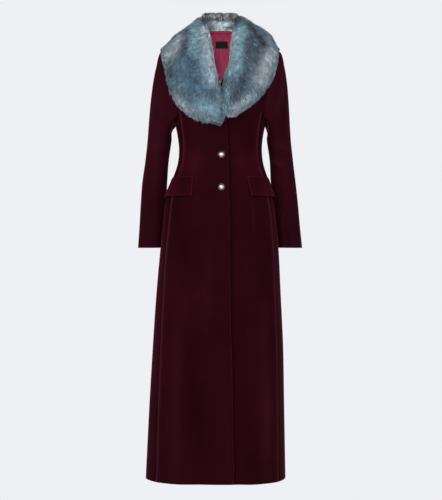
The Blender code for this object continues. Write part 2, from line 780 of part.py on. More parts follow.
def hip_point(turn_share, z, side):
    """Point and direction on the hip between a flap's inner edge (0) and its end at the side (1)."""
    top_x, bottom_x = FLAP_INNER_X[side]
    drop = (FLAP_TOP_Z - z) / (FLAP_TOP_Z - FLAP_BOTTOM_Z)
    half = half_width(z, side)
    squareness = body(z, "squareness")
    depth = body(z, "front")
    start_share = (top_x + (bottom_x - top_x) * drop) / half
    start = math.acos(start_share ** (squareness / 2))
    end = math.asin((abs(FLAP_END_Y) / depth) ** (squareness / 2))
    angle = start + (end - start) * turn_share
    x = side * half * math.cos(angle) ** (2 / squareness)
    y = -depth * math.sin(angle) ** (2 / squareness)
    along_x = np.sign(x) * (abs(x) / half) ** (squareness - 1) / half
    along_y = -(abs(y) / depth) ** (squareness - 1) / depth
    return np.array((x, y, z)), unit(np.array((along_x, along_y, 0.0)))


def make_flap(side):
    """Pocket flap that wraps from the front round the side of the hip."""
    outer = np.zeros((FLAP_ROWS, FLAP_COLUMNS, 3))
    inner = np.zeros_like(outer)
    for row in range(FLAP_ROWS):
        share = row / (FLAP_ROWS - 1)
        z = FLAP_TOP_Z + (FLAP_BOTTOM_Z - FLAP_TOP_Z) * share
        stand = LAYER_GAP + FLAP_FLARE * share
        for column in range(FLAP_COLUMNS):
            point, normal = hip_point(column / (FLAP_COLUMNS - 1), z, side)
            inner[row, column] = point + normal * stand
            outer[row, column] = point + normal * (stand + FLAP_WALL)
    return add_shell("flap_right" if side == RIGHT else "flap_left", "velvet", outer, inner)


def make_button(name, z):
    """Round domed button on the right front."""
    level = front_level(BUTTON_X, z)
    centre = coat_point(BUTTON_X, level, FRONT)
    normal = coat_normal(BUTTON_X, level, FRONT)
    across = unit(np.cross(UPWARD, normal))
    upward = np.cross(normal, across)
    points = []
    for radius, height in zip(BUTTON_PROFILE["radius"], BUTTON_PROFILE["height"]):
        for segment in range(BUTTON_SEGMENTS):
            turn = 2 * math.pi * segment / BUTTON_SEGMENTS
            spoke = across * math.cos(turn) + upward * math.sin(turn)
            points.append(centre + spoke * radius + normal * (BUTTON_SEATS[name] + height))
    rings = len(BUTTON_PROFILE["radius"])
    top_start = (rings - 1) * BUTTON_SEGMENTS
    faces = [list(range(BUTTON_SEGMENTS)), list(range(top_start, top_start + BUTTON_SEGMENTS))]
    for ring in range(rings - 1):
        for segment in range(BUTTON_SEGMENTS):
            here = ring * BUTTON_SEGMENTS + segment
            there = ring * BUTTON_SEGMENTS + (segment + 1) % BUTTON_SEGMENTS
            faces.append([here, there, there + BUTTON_SEGMENTS, here + BUTTON_SEGMENTS])
    return add_object(name, "button", points, faces)


def inside_back(name, kind, places, levels, depth, wall):
    """Cloth that lies inside the back, made from the back's points moved in."""
    outer = np.zeros((len(levels), len(places[0]), 3))
    inner = np.zeros_like(outer)
    for row, level in enumerate(levels):
        for column, x in enumerate(places[row]):
            point = coat_point(x, level, BACK)
            normal = coat_normal(x, level, BACK)
            outer[row, column] = point - normal * depth
            inner[row, column] = point - normal * (depth + wall)
    return add_shell(name, kind, outer, inner)


def make_lining():
    """Back lining, as far as it shows through the open neck."""
    low, high = LINING_ROWS
    levels = [level for level in panel_levels() if low < level < high]
    places = []
    for level in levels:
        right = back_columns(level, RIGHT)[1:LINING_COLUMNS]
        left = back_columns(level, LEFT)[:LINING_COLUMNS]
        places.append(np.concatenate((right[::-1], left)))
    return inside_back("lining_back", "lining", places, levels, WALL + LAYER_GAP, LINING_WALL)


def make_label():
    """Small bare woven label on the lining."""
    width, height = LABEL_SIZE
    centre_x, centre_z = LABEL_CENTRE
    xs = np.linspace(centre_x - width / 2, centre_x + width / 2, LABEL_GRID[0])
    low = front_level(centre_x, centre_z - height / 2)
    high = front_level(centre_x, centre_z + height / 2)
    levels = np.linspace(low, high, LABEL_GRID[1])
    depth = WALL + LAYER_GAP + LINING_WALL + LABEL_GAP
    return inside_back("label", "label", [xs] * len(levels), levels, depth, LABEL_WALL)


def main():
    """Build every piece of the coat."""
    clear_scene()
    for side in (RIGHT, LEFT):
        make_front(side)
        make_side(side)
        make_back(side)
        make_sleeve(side)
        make_flap(side)
    make_collar("collar_right", COLLAR_RIGHT, RIGHT)
    make_collar("collar_left", COLLAR_LEFT, LEFT)
    for name, z in BUTTON_ZS.items():
        make_button(name, z)
    make_lining()
    make_label()


main()
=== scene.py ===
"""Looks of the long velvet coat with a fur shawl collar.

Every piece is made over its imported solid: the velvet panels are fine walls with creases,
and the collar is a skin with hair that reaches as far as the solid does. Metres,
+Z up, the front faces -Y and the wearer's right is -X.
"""
import math

import bmesh
import bpy
import numpy as np
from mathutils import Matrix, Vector
from mathutils.bvhtree import BVHTree
from mathutils.kdtree import KDTree


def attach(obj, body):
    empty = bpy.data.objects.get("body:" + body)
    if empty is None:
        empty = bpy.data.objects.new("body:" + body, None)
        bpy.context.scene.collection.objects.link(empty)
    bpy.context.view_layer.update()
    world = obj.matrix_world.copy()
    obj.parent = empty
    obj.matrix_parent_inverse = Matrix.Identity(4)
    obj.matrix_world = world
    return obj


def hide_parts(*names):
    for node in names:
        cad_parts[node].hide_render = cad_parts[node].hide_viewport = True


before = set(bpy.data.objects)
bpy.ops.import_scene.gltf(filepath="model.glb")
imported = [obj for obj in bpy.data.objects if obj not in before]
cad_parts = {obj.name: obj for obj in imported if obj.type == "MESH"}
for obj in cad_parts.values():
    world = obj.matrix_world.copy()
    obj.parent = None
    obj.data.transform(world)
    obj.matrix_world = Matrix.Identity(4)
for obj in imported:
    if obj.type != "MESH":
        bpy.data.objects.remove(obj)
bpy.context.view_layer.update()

BODY_PANELS = ("front_right", "front_left", "side_right", "side_left", "back_right", "back_left")
SLEEVE_PANELS = ("sleeve_upper_right", "sleeve_under_right", "sleeve_upper_left", "sleeve_under_left")
OTHER_HALF = {"upper": "under", "under": "upper"}
FLAPS = ("flap_right", "flap_left")
BODY_FRONTS = ("front_right", "front_left")
COLLARS = ("collar_right", "collar_left")
BUTTONS = ("button_upper", "button_lower")

# Camera and light, for an image 442 by 500
CAMERA_PLACE = (0.0016, -4.0, -0.679)
FOCAL_MM = 92.9
SENSOR_MM = 36.0
PAPER = (0.855, 0.871, 0.905)
FLOOR_Z = -1.80
FLOOR_RADIUS = 1.5
FLOOR_SEGMENTS = 96

# Fine cloth
CLOTH_LEVELS = 2
SKIN_LEVELS = 1
FITTING_ROUNDS = 3
ARMHOLE_X = 0.11
ARMHOLE_Z = -0.31
RIM_FULL = 0.95
RIM_SPREAD = 0.00015
SEAM_REACH = 0.007
SEAM_CORNER = 0.002
SEAM_BLEND = 0.030
SEAM_NEIGHBOURS = 8
RIM_ANGLE = math.radians(50.0)
QUAD_ANGLE = math.radians(35.0)
QUAD_SHAPE = math.radians(60.0)
SHARP_ANGLE = math.radians(55.0)
MERGE = 1e-5
EDGE_BAND = 0.003
EDGE_DIP = 0.0012
RIM_SHARE = "rim_share"
OUTER_SHARE = "outer_share"

# Colours in linear light
VELVET_DARK = (0.0092, 0.0007, 0.0016)
VELVET_LIGHT = (0.0165, 0.0014, 0.0036)
VELVET_SHEEN = (0.58, 0.04, 0.115)
# Painted highlight, painted sheen and painted shadow that are mixed into the velvet
VELVET_HIGHLIGHT = (0.0410, 0.0066, 0.0130)
VELVET_SHEEN_RED = (0.0270, 0.0018, 0.0062)
VELVET_SHADOW = (0.0030, 0.0001, 0.0005)
LINING_DARK = (0.270, 0.024, 0.066)
LINING_LIGHT = (0.390, 0.042, 0.104)
LABEL_BLACK = (0.006, 0.006, 0.007)
SILVER = (0.50, 0.49, 0.50)
RIM_METAL = (0.030, 0.022, 0.024)
WORN_SHARE = 0.82
GRAIN_SHARE = 0.985

# Columns of the tables of short lines
LINE = ("x0", "z0", "x1", "z1")
CREASE_COLUMNS = LINE + ("width", "rise")
PRESS_COLUMNS = LINE + ("width", "strength")
BAND_COLUMNS = PRESS_COLUMNS + ("tone",)


def read_table(columns, rows):
    """Turn a short table into one array for each named column."""
    return {name: np.array([row[index] for row in rows]) for index, name in enumerate(columns)}


# Soft creases of the front and back, from a start to an end as seen from in front, with their
# half width and how far they rise (ridges) or sink (troughs)
FRONT_CREASES = read_table(
    CREASE_COLUMNS,
    (
        (-0.128, -0.290, -0.118, -0.405, 0.010, 0.0016),
        (-0.106, -0.285, -0.100, -0.395, 0.012, -0.0014),
        (0.122, -0.285, 0.110, -0.400, 0.010, 0.0015),
        (0.093, -0.290, 0.088, -0.440, 0.012, -0.0016),
        (-0.060, -0.330, -0.085, -0.372, 0.009, -0.0012),
        (0.050, -0.345, 0.086, -0.378, 0.009, -0.0012),
        (-0.030, -0.395, -0.082, -0.412, 0.010, 0.0006),
        (0.034, -0.402, 0.080, -0.420, 0.010, 0.0006),
        (0.095, -0.520, 0.099, -0.620, 0.007, 0.0022),
        (0.084, -0.530, 0.086, -0.640, 0.011, -0.0014),
        (-0.104, -0.540, -0.112, -0.700, 0.014, -0.0016),
        (-0.030, -0.620, -0.052, -1.050, 0.024, 0.0010),
        (0.060, -0.780, 0.066, -1.330, 0.026, -0.0022),
        (-0.122, -0.820, -0.144, -1.370, 0.020, 0.0016),
        (-0.070, -0.980, -0.078, -1.375, 0.022, -0.0020),
        (0.135, -0.860, 0.142, -1.375, 0.020, 0.0022),
        (0.020, -1.080, 0.024, -1.375, 0.016, 0.0008),
    ),
)
BACK_CREASES = read_table(
    CREASE_COLUMNS,
    (
        (-0.125, -0.200, -0.060, -0.330, 0.012, 0.0018),
        (0.118, -0.215, 0.064, -0.345, 0.011, 0.0016),
        (-0.095, -0.380, -0.020, -0.402, 0.010, -0.0016),
        (0.090, -0.372, 0.024, -0.392, 0.009, -0.0014),
        (-0.070, -0.425, -0.010, -0.448, 0.011, 0.0014),
        (0.076, -0.432, 0.016, -0.440, 0.010, 0.0012),
        (-0.060, -0.560, -0.078, -1.020, 0.024, 0.0026),
        (0.050, -0.600, 0.070, -1.180, 0.026, -0.0024),
        (-0.120, -0.760, -0.145, -1.372, 0.022, -0.0022),
        (0.118, -0.720, 0.132, -1.376, 0.024, 0.0026),
        (-0.026, -0.900, -0.034, -1.376, 0.018, -0.0016),
    ),
)
# Creases of each sleeve: heights of the two ends, the turn round the sleeve of each end
# (0 points away from the body, 90 to the front), half width in metres and rise
SLEEVE_CREASES = read_table(
    ("z0", "turn0", "z1", "turn1", "width", "rise"),
    (
        (-0.135, 60.0, -0.262, 84.0, 0.008, 0.0020),
        (-0.150, 38.0, -0.285, 52.0, 0.009, -0.0016),
        (-0.170, 128.0, -0.240, 112.0, 0.008, 0.0016),
        (-0.372, 150.0, -0.398, 70.0, 0.008, -0.0022),
        (-0.392, 160.0, -0.420, 96.0, 0.008, 0.0020),
        (-0.414, 150.0, -0.446, 84.0, 0.009, -0.0016),
        (-0.350, 120.0, -0.372, 40.0, 0.009, 0.0014),
        (-0.560, 108.0, -0.668, 118.0, 0.007, 0.0014),
        (-0.585, 62.0, -0.668, 58.0, 0.009, -0.0012),
        (-0.160, -50.0, -0.300, -74.0, 0.010, 0.0018),
        (-0.378, -40.0, -0.404, -130.0, 0.009, -0.0018),
        (-0.402, -30.0, -0.436, -120.0, 0.009, 0.0016),
        (-0.540, -84.0, -0.664, -96.0, 0.010, 0.0014),
    ),
)
# Upright folds of the lining
LINING_CREASES = read_table(
    CREASE_COLUMNS,
    (
        (-0.030, -0.040, -0.020, -0.235, 0.007, -0.0022),
        (-0.012, -0.055, -0.006, -0.230, 0.006, -0.0014),
        (0.013, -0.052, 0.010, -0.225, 0.006, -0.0018),
        (0.033, -0.030, 0.026, -0.230, 0.008, -0.0024),
        (-0.054, -0.050, -0.048, -0.220, 0.009, -0.0018),
        (0.056, -0.060, 0.050, -0.225, 0.009, -0.0016),
    ),
)

# Painted light and shade on the velvet: painted highlight along the edges of these pieces and on
# crease ridges, painted shade in troughs, painted highlight or painted shade beside a neighbour (its name,
# reach, highlight share, shade share), an even painted sheen on the sleeves, and a richer red painted sheen
# at the outer ends of the flaps and at the sides of the waist
PAINTED_LIGHT_LAYER = "painted_light"
LIT_EDGES = BODY_FRONTS + FLAPS
EDGE_HIGHLIGHT = 0.85
UNDERARM_Z = -0.270
SLEEVE_PAINTED_SHEEN = 0.14
# Richer red painted sheen, over the flaps and most at their outer ends, and at the sides of the waist
WAIST_SHEEN = 0.55
WAIST_SHEEN_X = 0.03
FLAP_SHEEN = 0.12
FLAP_END_SHEEN = 0.75
FLAP_SHEEN_X = 0.105
SHEEN_REACH = 0.06
WAIST_Z = -0.420
WAIST_REACH = 0.055
CREASE_LIGHT_SHADE = 0.20
CREASE_FULL = 0.0022
SEAM_LIGHT_SHADE = {
    "front_right": (("side_right", 0.009, 1.0, 0.0),),
    "front_left": (("side_left", 0.009, 0.9, 0.0), ("front_right", 0.007, 0.0, 0.75)),
    "side_right": (("front_right", 0.010, 0.0, 0.55),),
    "side_left": (("front_left", 0.010, 0.0, 0.55),),
}

# Body and sleeve, for directions and creases
BODY_HALF_WIDTH = 0.17
BODY_HALF_DEPTH = 0.11
FACE_BLEND = 0.05
LINING_DROP = 0.020
FLAP_TOP_Z = -0.456
FLAP_DROP = 0.056
FLAP_END_START = -0.050
FLAP_END_REACH = 0.035
FLAP_PRESS = 0.0045
FLAP_HANG = 0.0020
FLAP_END_HANG = 0.0035
FLAP_SLOPE = 0.40
CREASE_END = 0.45
SLEEVE_STEPS = 30
SLEEVE_BAND = 0.03
SLEEVE_RADIUS = 0.042
SLEEVE_SHARES = {"right": 0.5, "left": 1.2}

# Fur: tones in linear light
FUR_COLOURS = "hair_colour"
FUR_TONES = {
    "mid_blue": np.array((0.078, 0.132, 0.174)),
    "slate_blue": np.array((0.045, 0.095, 0.141)),
    "dark_slate": np.array((0.028, 0.038, 0.054)),
    "cyan": np.array((0.184, 0.314, 0.376)),
    "pale": np.array((0.385, 0.462, 0.508)),
    "grey": np.array((0.235, 0.273, 0.308)),
    "beige": np.array((0.305, 0.335, 0.358)),
    "dark_taupe": np.array((0.011, 0.011, 0.011)),
    "taupe": np.array((0.060, 0.052, 0.050)),
    "fringe": np.array((0.042, 0.036, 0.036)),
    "inside": np.array((0.800, 0.940, 1.000)),
    "tip_pale": np.array((0.330, 0.345, 0.355)),
}
# Dyed bands along the collar, each on a short line as seen from in front or from behind
FRONT_BANDS = read_table(
    BAND_COLUMNS,
    (
        (-0.100, -0.100, -0.072, -0.215, 0.034, 0.95, "slate_blue"),
        (-0.050, -0.004, -0.022, -0.165, 0.017, 0.95, "pale"),
        (-0.081, 0.005, -0.083, -0.078, 0.015, 0.90, "cyan"),
        (-0.058, -0.080, -0.045, -0.160, 0.012, 0.45, "cyan"),
        (-0.106, -0.008, -0.112, -0.082, 0.012, 0.95, "dark_slate"),
        (-0.130, -0.030, -0.146, -0.082, 0.014, 0.75, "beige"),
        (-0.172, -0.055, -0.160, -0.110, 0.012, 0.90, "grey"),
        (-0.156, -0.108, -0.151, -0.150, 0.008, 0.90, "dark_taupe"),
        (-0.150, -0.190, -0.136, -0.212, 0.009, 0.70, "dark_slate"),
        (-0.018, -0.262, -0.064, -0.248, 0.016, 0.75, "cyan"),
        (-0.022, -0.200, -0.026, -0.222, 0.010, 0.55, "dark_slate"),
        (-0.148, -0.214, -0.088, -0.272, 0.010, 0.90, "beige"),
        (-0.080, -0.274, -0.014, -0.286, 0.009, 0.70, "grey"),
        (0.068, -0.176, 0.040, -0.226, 0.022, 0.95, "dark_slate"),
        (0.064, -0.005, 0.053, -0.130, 0.020, 0.95, "cyan"),
        (0.044, -0.010, 0.018, -0.150, 0.013, 0.60, "pale"),
        (0.087, -0.040, 0.072, -0.165, 0.013, 0.90, "dark_slate"),
        (0.088, 0.012, 0.138, -0.064, 0.013, 0.98, "dark_taupe"),
        (0.112, -0.066, 0.100, -0.130, 0.012, 0.80, "dark_slate"),
        (0.150, -0.030, 0.166, -0.066, 0.009, 0.70, "grey"),
        (0.158, -0.080, 0.122, -0.170, 0.019, 0.95, "beige"),
        (0.018, -0.200, 0.016, -0.260, 0.008, 0.60, "cyan"),
        (-0.098, 0.046, -0.188, -0.036, 0.012, 0.75, "grey"),
        (0.098, 0.046, 0.188, -0.036, 0.012, 0.65, "grey"),
        (-0.039, 0.010, -0.006, -0.140, 0.006, 0.85, "pale"),
        (0.043, 0.000, 0.008, -0.155, 0.006, 0.80, "pale"),
        (0.100, -0.220, 0.030, -0.276, 0.010, 0.90, "beige"),
    ),
)
# Dark streaks at the top, beside the neck: the inner pair is painted shadow of the folds where the collar
# turns at the neck sides
TOP_BANDS = read_table(
    BAND_COLUMNS,
    (
        (-0.041, 0.058, -0.040, 0.020, 0.007, 0.92, "dark_taupe"),
        (0.047, 0.056, 0.044, 0.020, 0.007, 0.92, "dark_taupe"),
        (-0.066, 0.046, -0.060, 0.026, 0.006, 0.60, "dark_slate"),
        (0.066, 0.040, 0.058, 0.020, 0.006, 0.50, "dark_slate"),
    ),
)
BACK_BANDS = read_table(
    BAND_COLUMNS,
    (
        (-0.130, -0.030, -0.105, -0.130, 0.020, 0.80, "slate_blue"),
        (-0.086, 0.010, -0.070, -0.140, 0.014, 0.75, "cyan"),
        (-0.044, 0.020, -0.040, -0.150, 0.016, 0.80, "dark_slate"),
        (0.004, 0.030, 0.000, -0.155, 0.016, 0.75, "pale"),
        (0.040, 0.020, 0.046, -0.150, 0.015, 0.80, "slate_blue"),
        (0.080, 0.010, 0.086, -0.140, 0.016, 0.80, "dark_taupe"),
        (0.122, -0.030, 0.116, -0.125, 0.018, 0.75, "beige"),
        (-0.098, 0.046, -0.188, -0.036, 0.018, 0.85, "grey"),
        (0.098, 0.046, 0.188, -0.036, 0.018, 0.80, "grey"),
        (-0.165, -0.060, -0.060, -0.140, 0.012, 0.50, "grey"),
        (0.165, -0.060, 0.060, -0.140, 0.012, 0.50, "grey"),
    ),
)
# The collar lies flatter over the wearer's right shoulder
PRESSED = read_table(PRESS_COLUMNS, ((-0.102, 0.034, -0.146, -0.006, 0.034, 1.00),))
BAND_WANDER = 0.005
BAND_TURN = 0.04
# Painted shade of the skin under the hair
SKIN_SHADE = 0.55

# Hair: sizes in metres and shares of one
HAIR_SEED = 11
HAIR_COUNT = 52000
HAIR_LENGTH = 0.030
LENGTH_SPREAD = (0.72, 1.18)
HAIR_WIDTH = 0.0013
WIDTH_SPREAD = (0.7, 1.3)
HAIR_TWIST = 0.7
HAIR_SWAY = 0.28
TIP_STAND = 0.0036
TIP_EDGE_STAND = 0.0044
TIP_MOST = 0.0120
FLYAWAY_SHARE = 0.10
FLYAWAY_RISE = 0.0045
EDGE_LIFT = 0.16
HAIR_DEPTH = 0.009
HAIR_DEPTH_SHARE = 0.40
RAY_START = 1e-4
THICK_MOST = 0.1
CLEAR_SHARE = 0.98
HAIR_STEPS = ((0.0, 0.8), (0.35, 1.0), (0.70, 0.75))
MIDDLE_DEPTH = 0.40
TIP_DEPTHS = (-0.10, 0.45)
CLUMP_SHARE = 0.06
MIDDLE_CLUMP = 0.25
TIP_CLUMP = 0.5
CLUMP_SHADE = 0.22
HAIR_SHADE = 0.18
EDGE_HAIR_REACH = 0.016
EDGE_HAIR_TRIM = 0.35
# Painted shade darkens the roots and the lower middles of the hairs, less near the edges; painted light
# brightens the tips near the edges
ROOT_SHADE = 0.40
ROOT_EDGE_SHADE = 0.35
TIP_EDGE_LIGHT = 0.30
LOWER_BODY = 0.85
UPPER_BODY = 0.55
UPPER_END = 0.45
EDGE_GREY = 0.45
BROWN_SHARE = 0.06
BROWN_EDGE_SHARE = 0.22
BROWN_TOP_SHARE = 0.42
PALE_SHARE = 0.03
PALE_EDGE_SHARE = 0.36
PALE_TOP_SHARE = 0.34
TOP_FRINGE_Z = 0.035
TOP_FRINGE_RISE = 0.010
FRINGE_FROM = 0.5
FRINGE_BROWN = 0.5
FRINGE_DIP = 0.35
FRINGE_STAND = 0.45
FRINGE_TUFTS = 0.75
INSIDE_FADE = 0.75
INSIDE_TURN = 0.5
INSIDE_DEPTH = 0.03
INSIDE_HALF = 0.012
INSIDE_SPAN = 0.035
SEAT_REACH = 0.020
SEAT_FACING = -0.45
JOINT_BLEND = 0.010
PRESS_DEPTH = 0.0095
PRESS_FACING = 0.3
SHOULDER_CORNER = (0.186, -0.005, -0.060)
SHOULDER_REACH = 0.030
SHOULDER_TRIM = 0.60
SHOULDER_DROOP = 1.6

# Directions of the hair
NECK_AXIS_Y = -0.010
FLOW_OUT = 0.85
FLOW_DOWN = 0.70
FLOW_UP_INSIDE = 0.90
FLOW_TURN = 0.7
LAPEL_TOP_Z = -0.150
LAPEL_FADE = 0.02
LAPEL_REACH = 0.042
LAPEL_FLOWS = {"right": 1.5, "left": -1.5}

# Buttons: outlines as radius and height
BUTTON_RIM = (
    (0.0095, 0.0000),
    (0.0112, 0.0006),
    (0.0118, 0.0016),
    (0.0118, 0.0028),
    (0.0112, 0.0037),
    (0.0100, 0.0039),
    (0.0090, 0.0034),
    (0.0083, 0.0026),
)
BUTTON_DOME = ((0.0080, 0.0020), (0.0080, 0.0040), (0.0070, 0.0058), (0.0048, 0.0073), (0.0024, 0.0081))
RIM_SEGMENTS = 48
DOME_SEGMENTS = 14

# Lamps: name, place, target, size, power and colour
LAMPS = (
    ("front", (-0.3, -4.4, 0.5), (0.0, 0.0, -0.5), (1.0, 1.0), 130.0, (1.0, 0.99, 0.98)),
    ("key", (-2.2, -2.6, 1.4), (0.0, 0.0, -0.5), (1.6, 1.6), 34.0, (1.0, 0.98, 0.96)),
    ("fill", (2.4, -2.6, 0.4), (0.0, 0.0, -0.7), (1.4, 2.0), 12.0, (0.97, 0.98, 1.0)),
    ("top", (0.0, 0.4, 2.4), (0.0, 0.0, -0.2), (1.6, 1.6), 16.0, (1.0, 1.0, 1.0)),
)


def new_material(name, roughness, specular):
    """Material with its shader, ready for a colour and a bump."""
    material = bpy.data.materials.new(name)
    material.use_nodes = True
    tree = material.node_tree
    shader = tree.nodes["Principled BSDF"]
    shader.inputs["Roughness"].default_value = roughness
    shader.inputs["Specular IOR Level"].default_value = specular
    return material, tree, shader


def add_noise(tree, scale, detail=3.0, stretch=(1.0, 1.0, 1.0)):
    """Noise over the piece's own coordinates; returns its value socket."""
    place = tree.nodes.new("ShaderNodeTexCoord")
    mapping = tree.nodes.new("ShaderNodeMapping")
    noise = tree.nodes.new("ShaderNodeTexNoise")
    mapping.inputs["Scale"].default_value = stretch
    noise.inputs["Scale"].default_value = scale
    noise.inputs["Detail"].default_value = detail
    tree.links.new(place.outputs["Object"], mapping.inputs["Vector"])
    tree.links.new(mapping.outputs["Vector"], noise.inputs["Vector"])
    return noise.outputs["Fac"]


def add_ramp(tree, source, stops):
    """Colour ramp from a value; stops are pairs of a place and a colour."""
    ramp = tree.nodes.new("ShaderNodeValToRGB")
    elements = ramp.color_ramp.elements
    while len(elements) < len(stops):
        elements.new(0.5)
    for element, (place, colour) in zip(elements, stops):
        element.position = place
        element.color = (*colour, 1.0)
    tree.links.new(source, ramp.inputs["Fac"])
    return ramp.outputs["Color"]


def add_mix(tree, share, below, colour):
    """A colour mixed over another by a share."""
    mix = tree.nodes.new("ShaderNodeMixRGB")
    tree.links.new(share, mix.inputs["Fac"])
    tree.links.new(below, mix.inputs["Color1"])
    mix.inputs["Color2"].default_value = (*colour, 1.0)
    return mix.outputs["Color"]


def add_bump(tree, shader, height, strength, distance, below=None):
    """Bump from a height; below is the normal of a coarser bump under it."""
    bump = tree.nodes.new("ShaderNodeBump")
    bump.inputs["Strength"].default_value = strength
    bump.inputs["Distance"].default_value = distance
    tree.links.new(height, bump.inputs["Height"])
    if below is not None:
        tree.links.new(below, bump.inputs["Normal"])
    tree.links.new(bump.outputs["Normal"], shader.inputs["Normal"])
    return bump.outputs["Normal"]


def set_sheen(shader, weight, roughness, tint):
    """Soft light of a pile seen at a low angle."""
    shader.inputs["Sheen Weight"].default_value = weight
    shader.inputs["Sheen Roughness"].default_value = roughness
    shader.inputs["Sheen Tint"].default_value = (*tint, 1.0)


def make_velvet():
    """Deep burgundy velvet brushed in soft patches, with painted highlight, painted sheen and painted shade
    from a layer of shares.
    """
    material, tree, shader = new_material("velvet", 0.9, 0.014)
    patches = add_noise(tree, 9.0, 4.0, (1.0, 1.0, 0.45))
    colour = add_ramp(tree, patches, ((0.30, VELVET_DARK), (0.72, VELVET_LIGHT)))
    painted_light = tree.nodes.new("ShaderNodeVertexColor")
    painted_light.layer_name = PAINTED_LIGHT_LAYER
    shares = tree.nodes.new("ShaderNodeSeparateColor")
    tree.links.new(painted_light.outputs["Color"], shares.inputs["Color"])
    # Painted sheen in a richer red, painted highlight and painted shade mixed over the velvet's colour by
    # the layer's blue, red and green shares
    colour = add_mix(tree, shares.outputs["Blue"], colour, VELVET_SHEEN_RED)
    colour = add_mix(tree, shares.outputs["Red"], colour, VELVET_HIGHLIGHT)
    colour = add_mix(tree, shares.outputs["Green"], colour, VELVET_SHADOW)
    tree.links.new(colour, shader.inputs["Base Color"])
    set_sheen(shader, 0.10, 0.34, VELVET_SHEEN)
    brushed = add_bump(tree, shader, add_noise(tree, 70.0, 3.0, (1.0, 1.0, 0.4)), 0.25, 0.0015)
    add_bump(tree, shader, add_noise(tree, 1400.0, 2.0), 0.30, 0.0004, brushed)
    return material


def make_lining():
    """Raspberry satin with fine upright threads."""
    material, tree, shader = new_material("lining_satin", 0.50, 0.10)
    threads = add_noise(tree, 30.0, 4.0, (6.0, 6.0, 0.7))
    colour = add_ramp(tree, threads, ((0.28, LINING_DARK), (0.74, LINING_LIGHT)))
    tree.links.new(colour, shader.inputs["Base Color"])
    set_sheen(shader, 0.04, 0.4, (0.9, 0.3, 0.45))
    add_bump(tree, shader, add_noise(tree, 500.0, 2.0, (3.0, 3.0, 0.4)), 0.20, 0.0003)
    return material


def make_label_cloth():
    """Black woven ribbon."""
    material, tree, shader = new_material("label_weave", 0.70, 0.08)
    weave = add_noise(tree, 900.0, 1.0, (1.0, 1.0, 4.0))
    colour = add_ramp(tree, weave, ((0.3, LABEL_BLACK), (0.8, (0.016, 0.015, 0.017))))
    tree.links.new(colour, shader.inputs["Base Color"])
    add_bump(tree, shader, weave, 0.35, 0.0003)
    return material


def make_metal(name, colour, roughness):
    """Polished metal with faint wear."""
    material, tree, shader = new_material(name, roughness, 0.5)
    shader.inputs["Metallic"].default_value = 1.0
    wear = add_noise(tree, 600.0, 4.0)
    dulled = tuple(WORN_SHARE * part for part in colour)
    tree.links.new(add_ramp(tree, wear, ((0.35, dulled), (0.65, colour))), shader.inputs["Base Color"])
    add_bump(tree, shader, wear, 0.05, 0.0002)
    return material


def make_fur():
    """Hair that carries its own colours, from root to tip."""
    material, tree, shader = new_material("fur", 0.60, 0.12)
    colours = tree.nodes.new("ShaderNodeVertexColor")
    colours.layer_name = FUR_COLOURS
    tree.links.new(colours.outputs["Color"], shader.inputs["Base Color"])
    set_sheen(shader, 0.06, 0.45, (0.80, 0.88, 0.95))
    return material


def put_in(name, data):
    """Put data into the scene as a new object."""
    item = bpy.data.objects.new(name, data)
    bpy.context.scene.collection.objects.link(item)
    return item


def packed_shape(name):
    """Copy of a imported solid, its points joined."""
    shape = bmesh.new()
    shape.from_mesh(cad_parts[name].data)
    bmesh.ops.remove_doubles(shape, verts=shape.verts, dist=MERGE)
    return shape


def finished(shape, name):
    """New mesh of a shape, which is freed."""
    mesh = bpy.data.meshes.new(name)
    shape.to_mesh(mesh)
    shape.free()
    return mesh


def points_of(mesh):
    """Places of a mesh's points as an array."""
    found = np.zeros(len(mesh.vertices) * 3, dtype=np.float32)
    mesh.vertices.foreach_get("co", found)
    return found.reshape(-1, 3).astype(float)


def unit_rows(vectors):
    """Each row scaled to length one."""
    return vectors / np.maximum(np.linalg.norm(vectors, axis=-1, keepdims=True), 1e-12)


def ease(value):
    """Smooth step from 0 to 1."""
    t = np.clip(value, 0.0, 1.0)
    return t * t * (3.0 - 2.0 * t)


def falloff(away, reach):
    """Soft share that is 1 at a place and fades over a reach."""
    return np.exp(-(away / reach) ** 2)


def mixed(below, above, share):
    """Values mixed by the share of those above."""
    return below * (1.0 - share) + above * share


def body_outward(points):
    """Direction away from the middle of the body."""
    outward = np.zeros_like(points)
    outward[:, 0] = points[:, 0] / BODY_HALF_WIDTH ** 2
    outward[:, 1] = points[:, 1] / BODY_HALF_DEPTH ** 2
    return unit_rows(outward)


def sleeve_middle(side, heights):
    """Middle of a sleeve at each height, read from the two packed sleeve pieces."""
    names = [name for name in SLEEVE_PANELS if name.endswith(side)]
    both = np.concatenate([points_of(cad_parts[name].data) for name in names])
    steps = np.linspace(both[:, 2].min(), both[:, 2].max(), SLEEVE_STEPS)
    middles = []
    for step in steps:
        near = both[np.abs(both[:, 2] - step) < SLEEVE_BAND]
        middles.append((near.min(axis=0) + near.max(axis=0)) / 2)
    middles = np.array(middles)
    return np.stack([np.interp(heights, steps, middles[:, axis]) for axis in range(2)], axis=1)


def sleeve_outward(points, side):
    """Direction away from the middle of a sleeve."""
    outward = np.zeros_like(points)
    outward[:, :2] = points[:, :2] - sleeve_middle(side, points[:, 2])
    return unit_rows(outward)


def beside_line(across, upward, table, row, names=LINE):
    """Share along a short line of a table, and the distance from it, at each place."""
    start_a, start_b, end_a, end_b = (table[name][row] for name in names)
    step = np.array((end_a - start_a, end_b - start_b))
    away = np.stack((across - start_a, upward - start_b), axis=1)
    share = np.clip(away @ step / (step @ step), 0.0, 1.0)
    return share, np.linalg.norm(away - share[:, None] * step, axis=1)


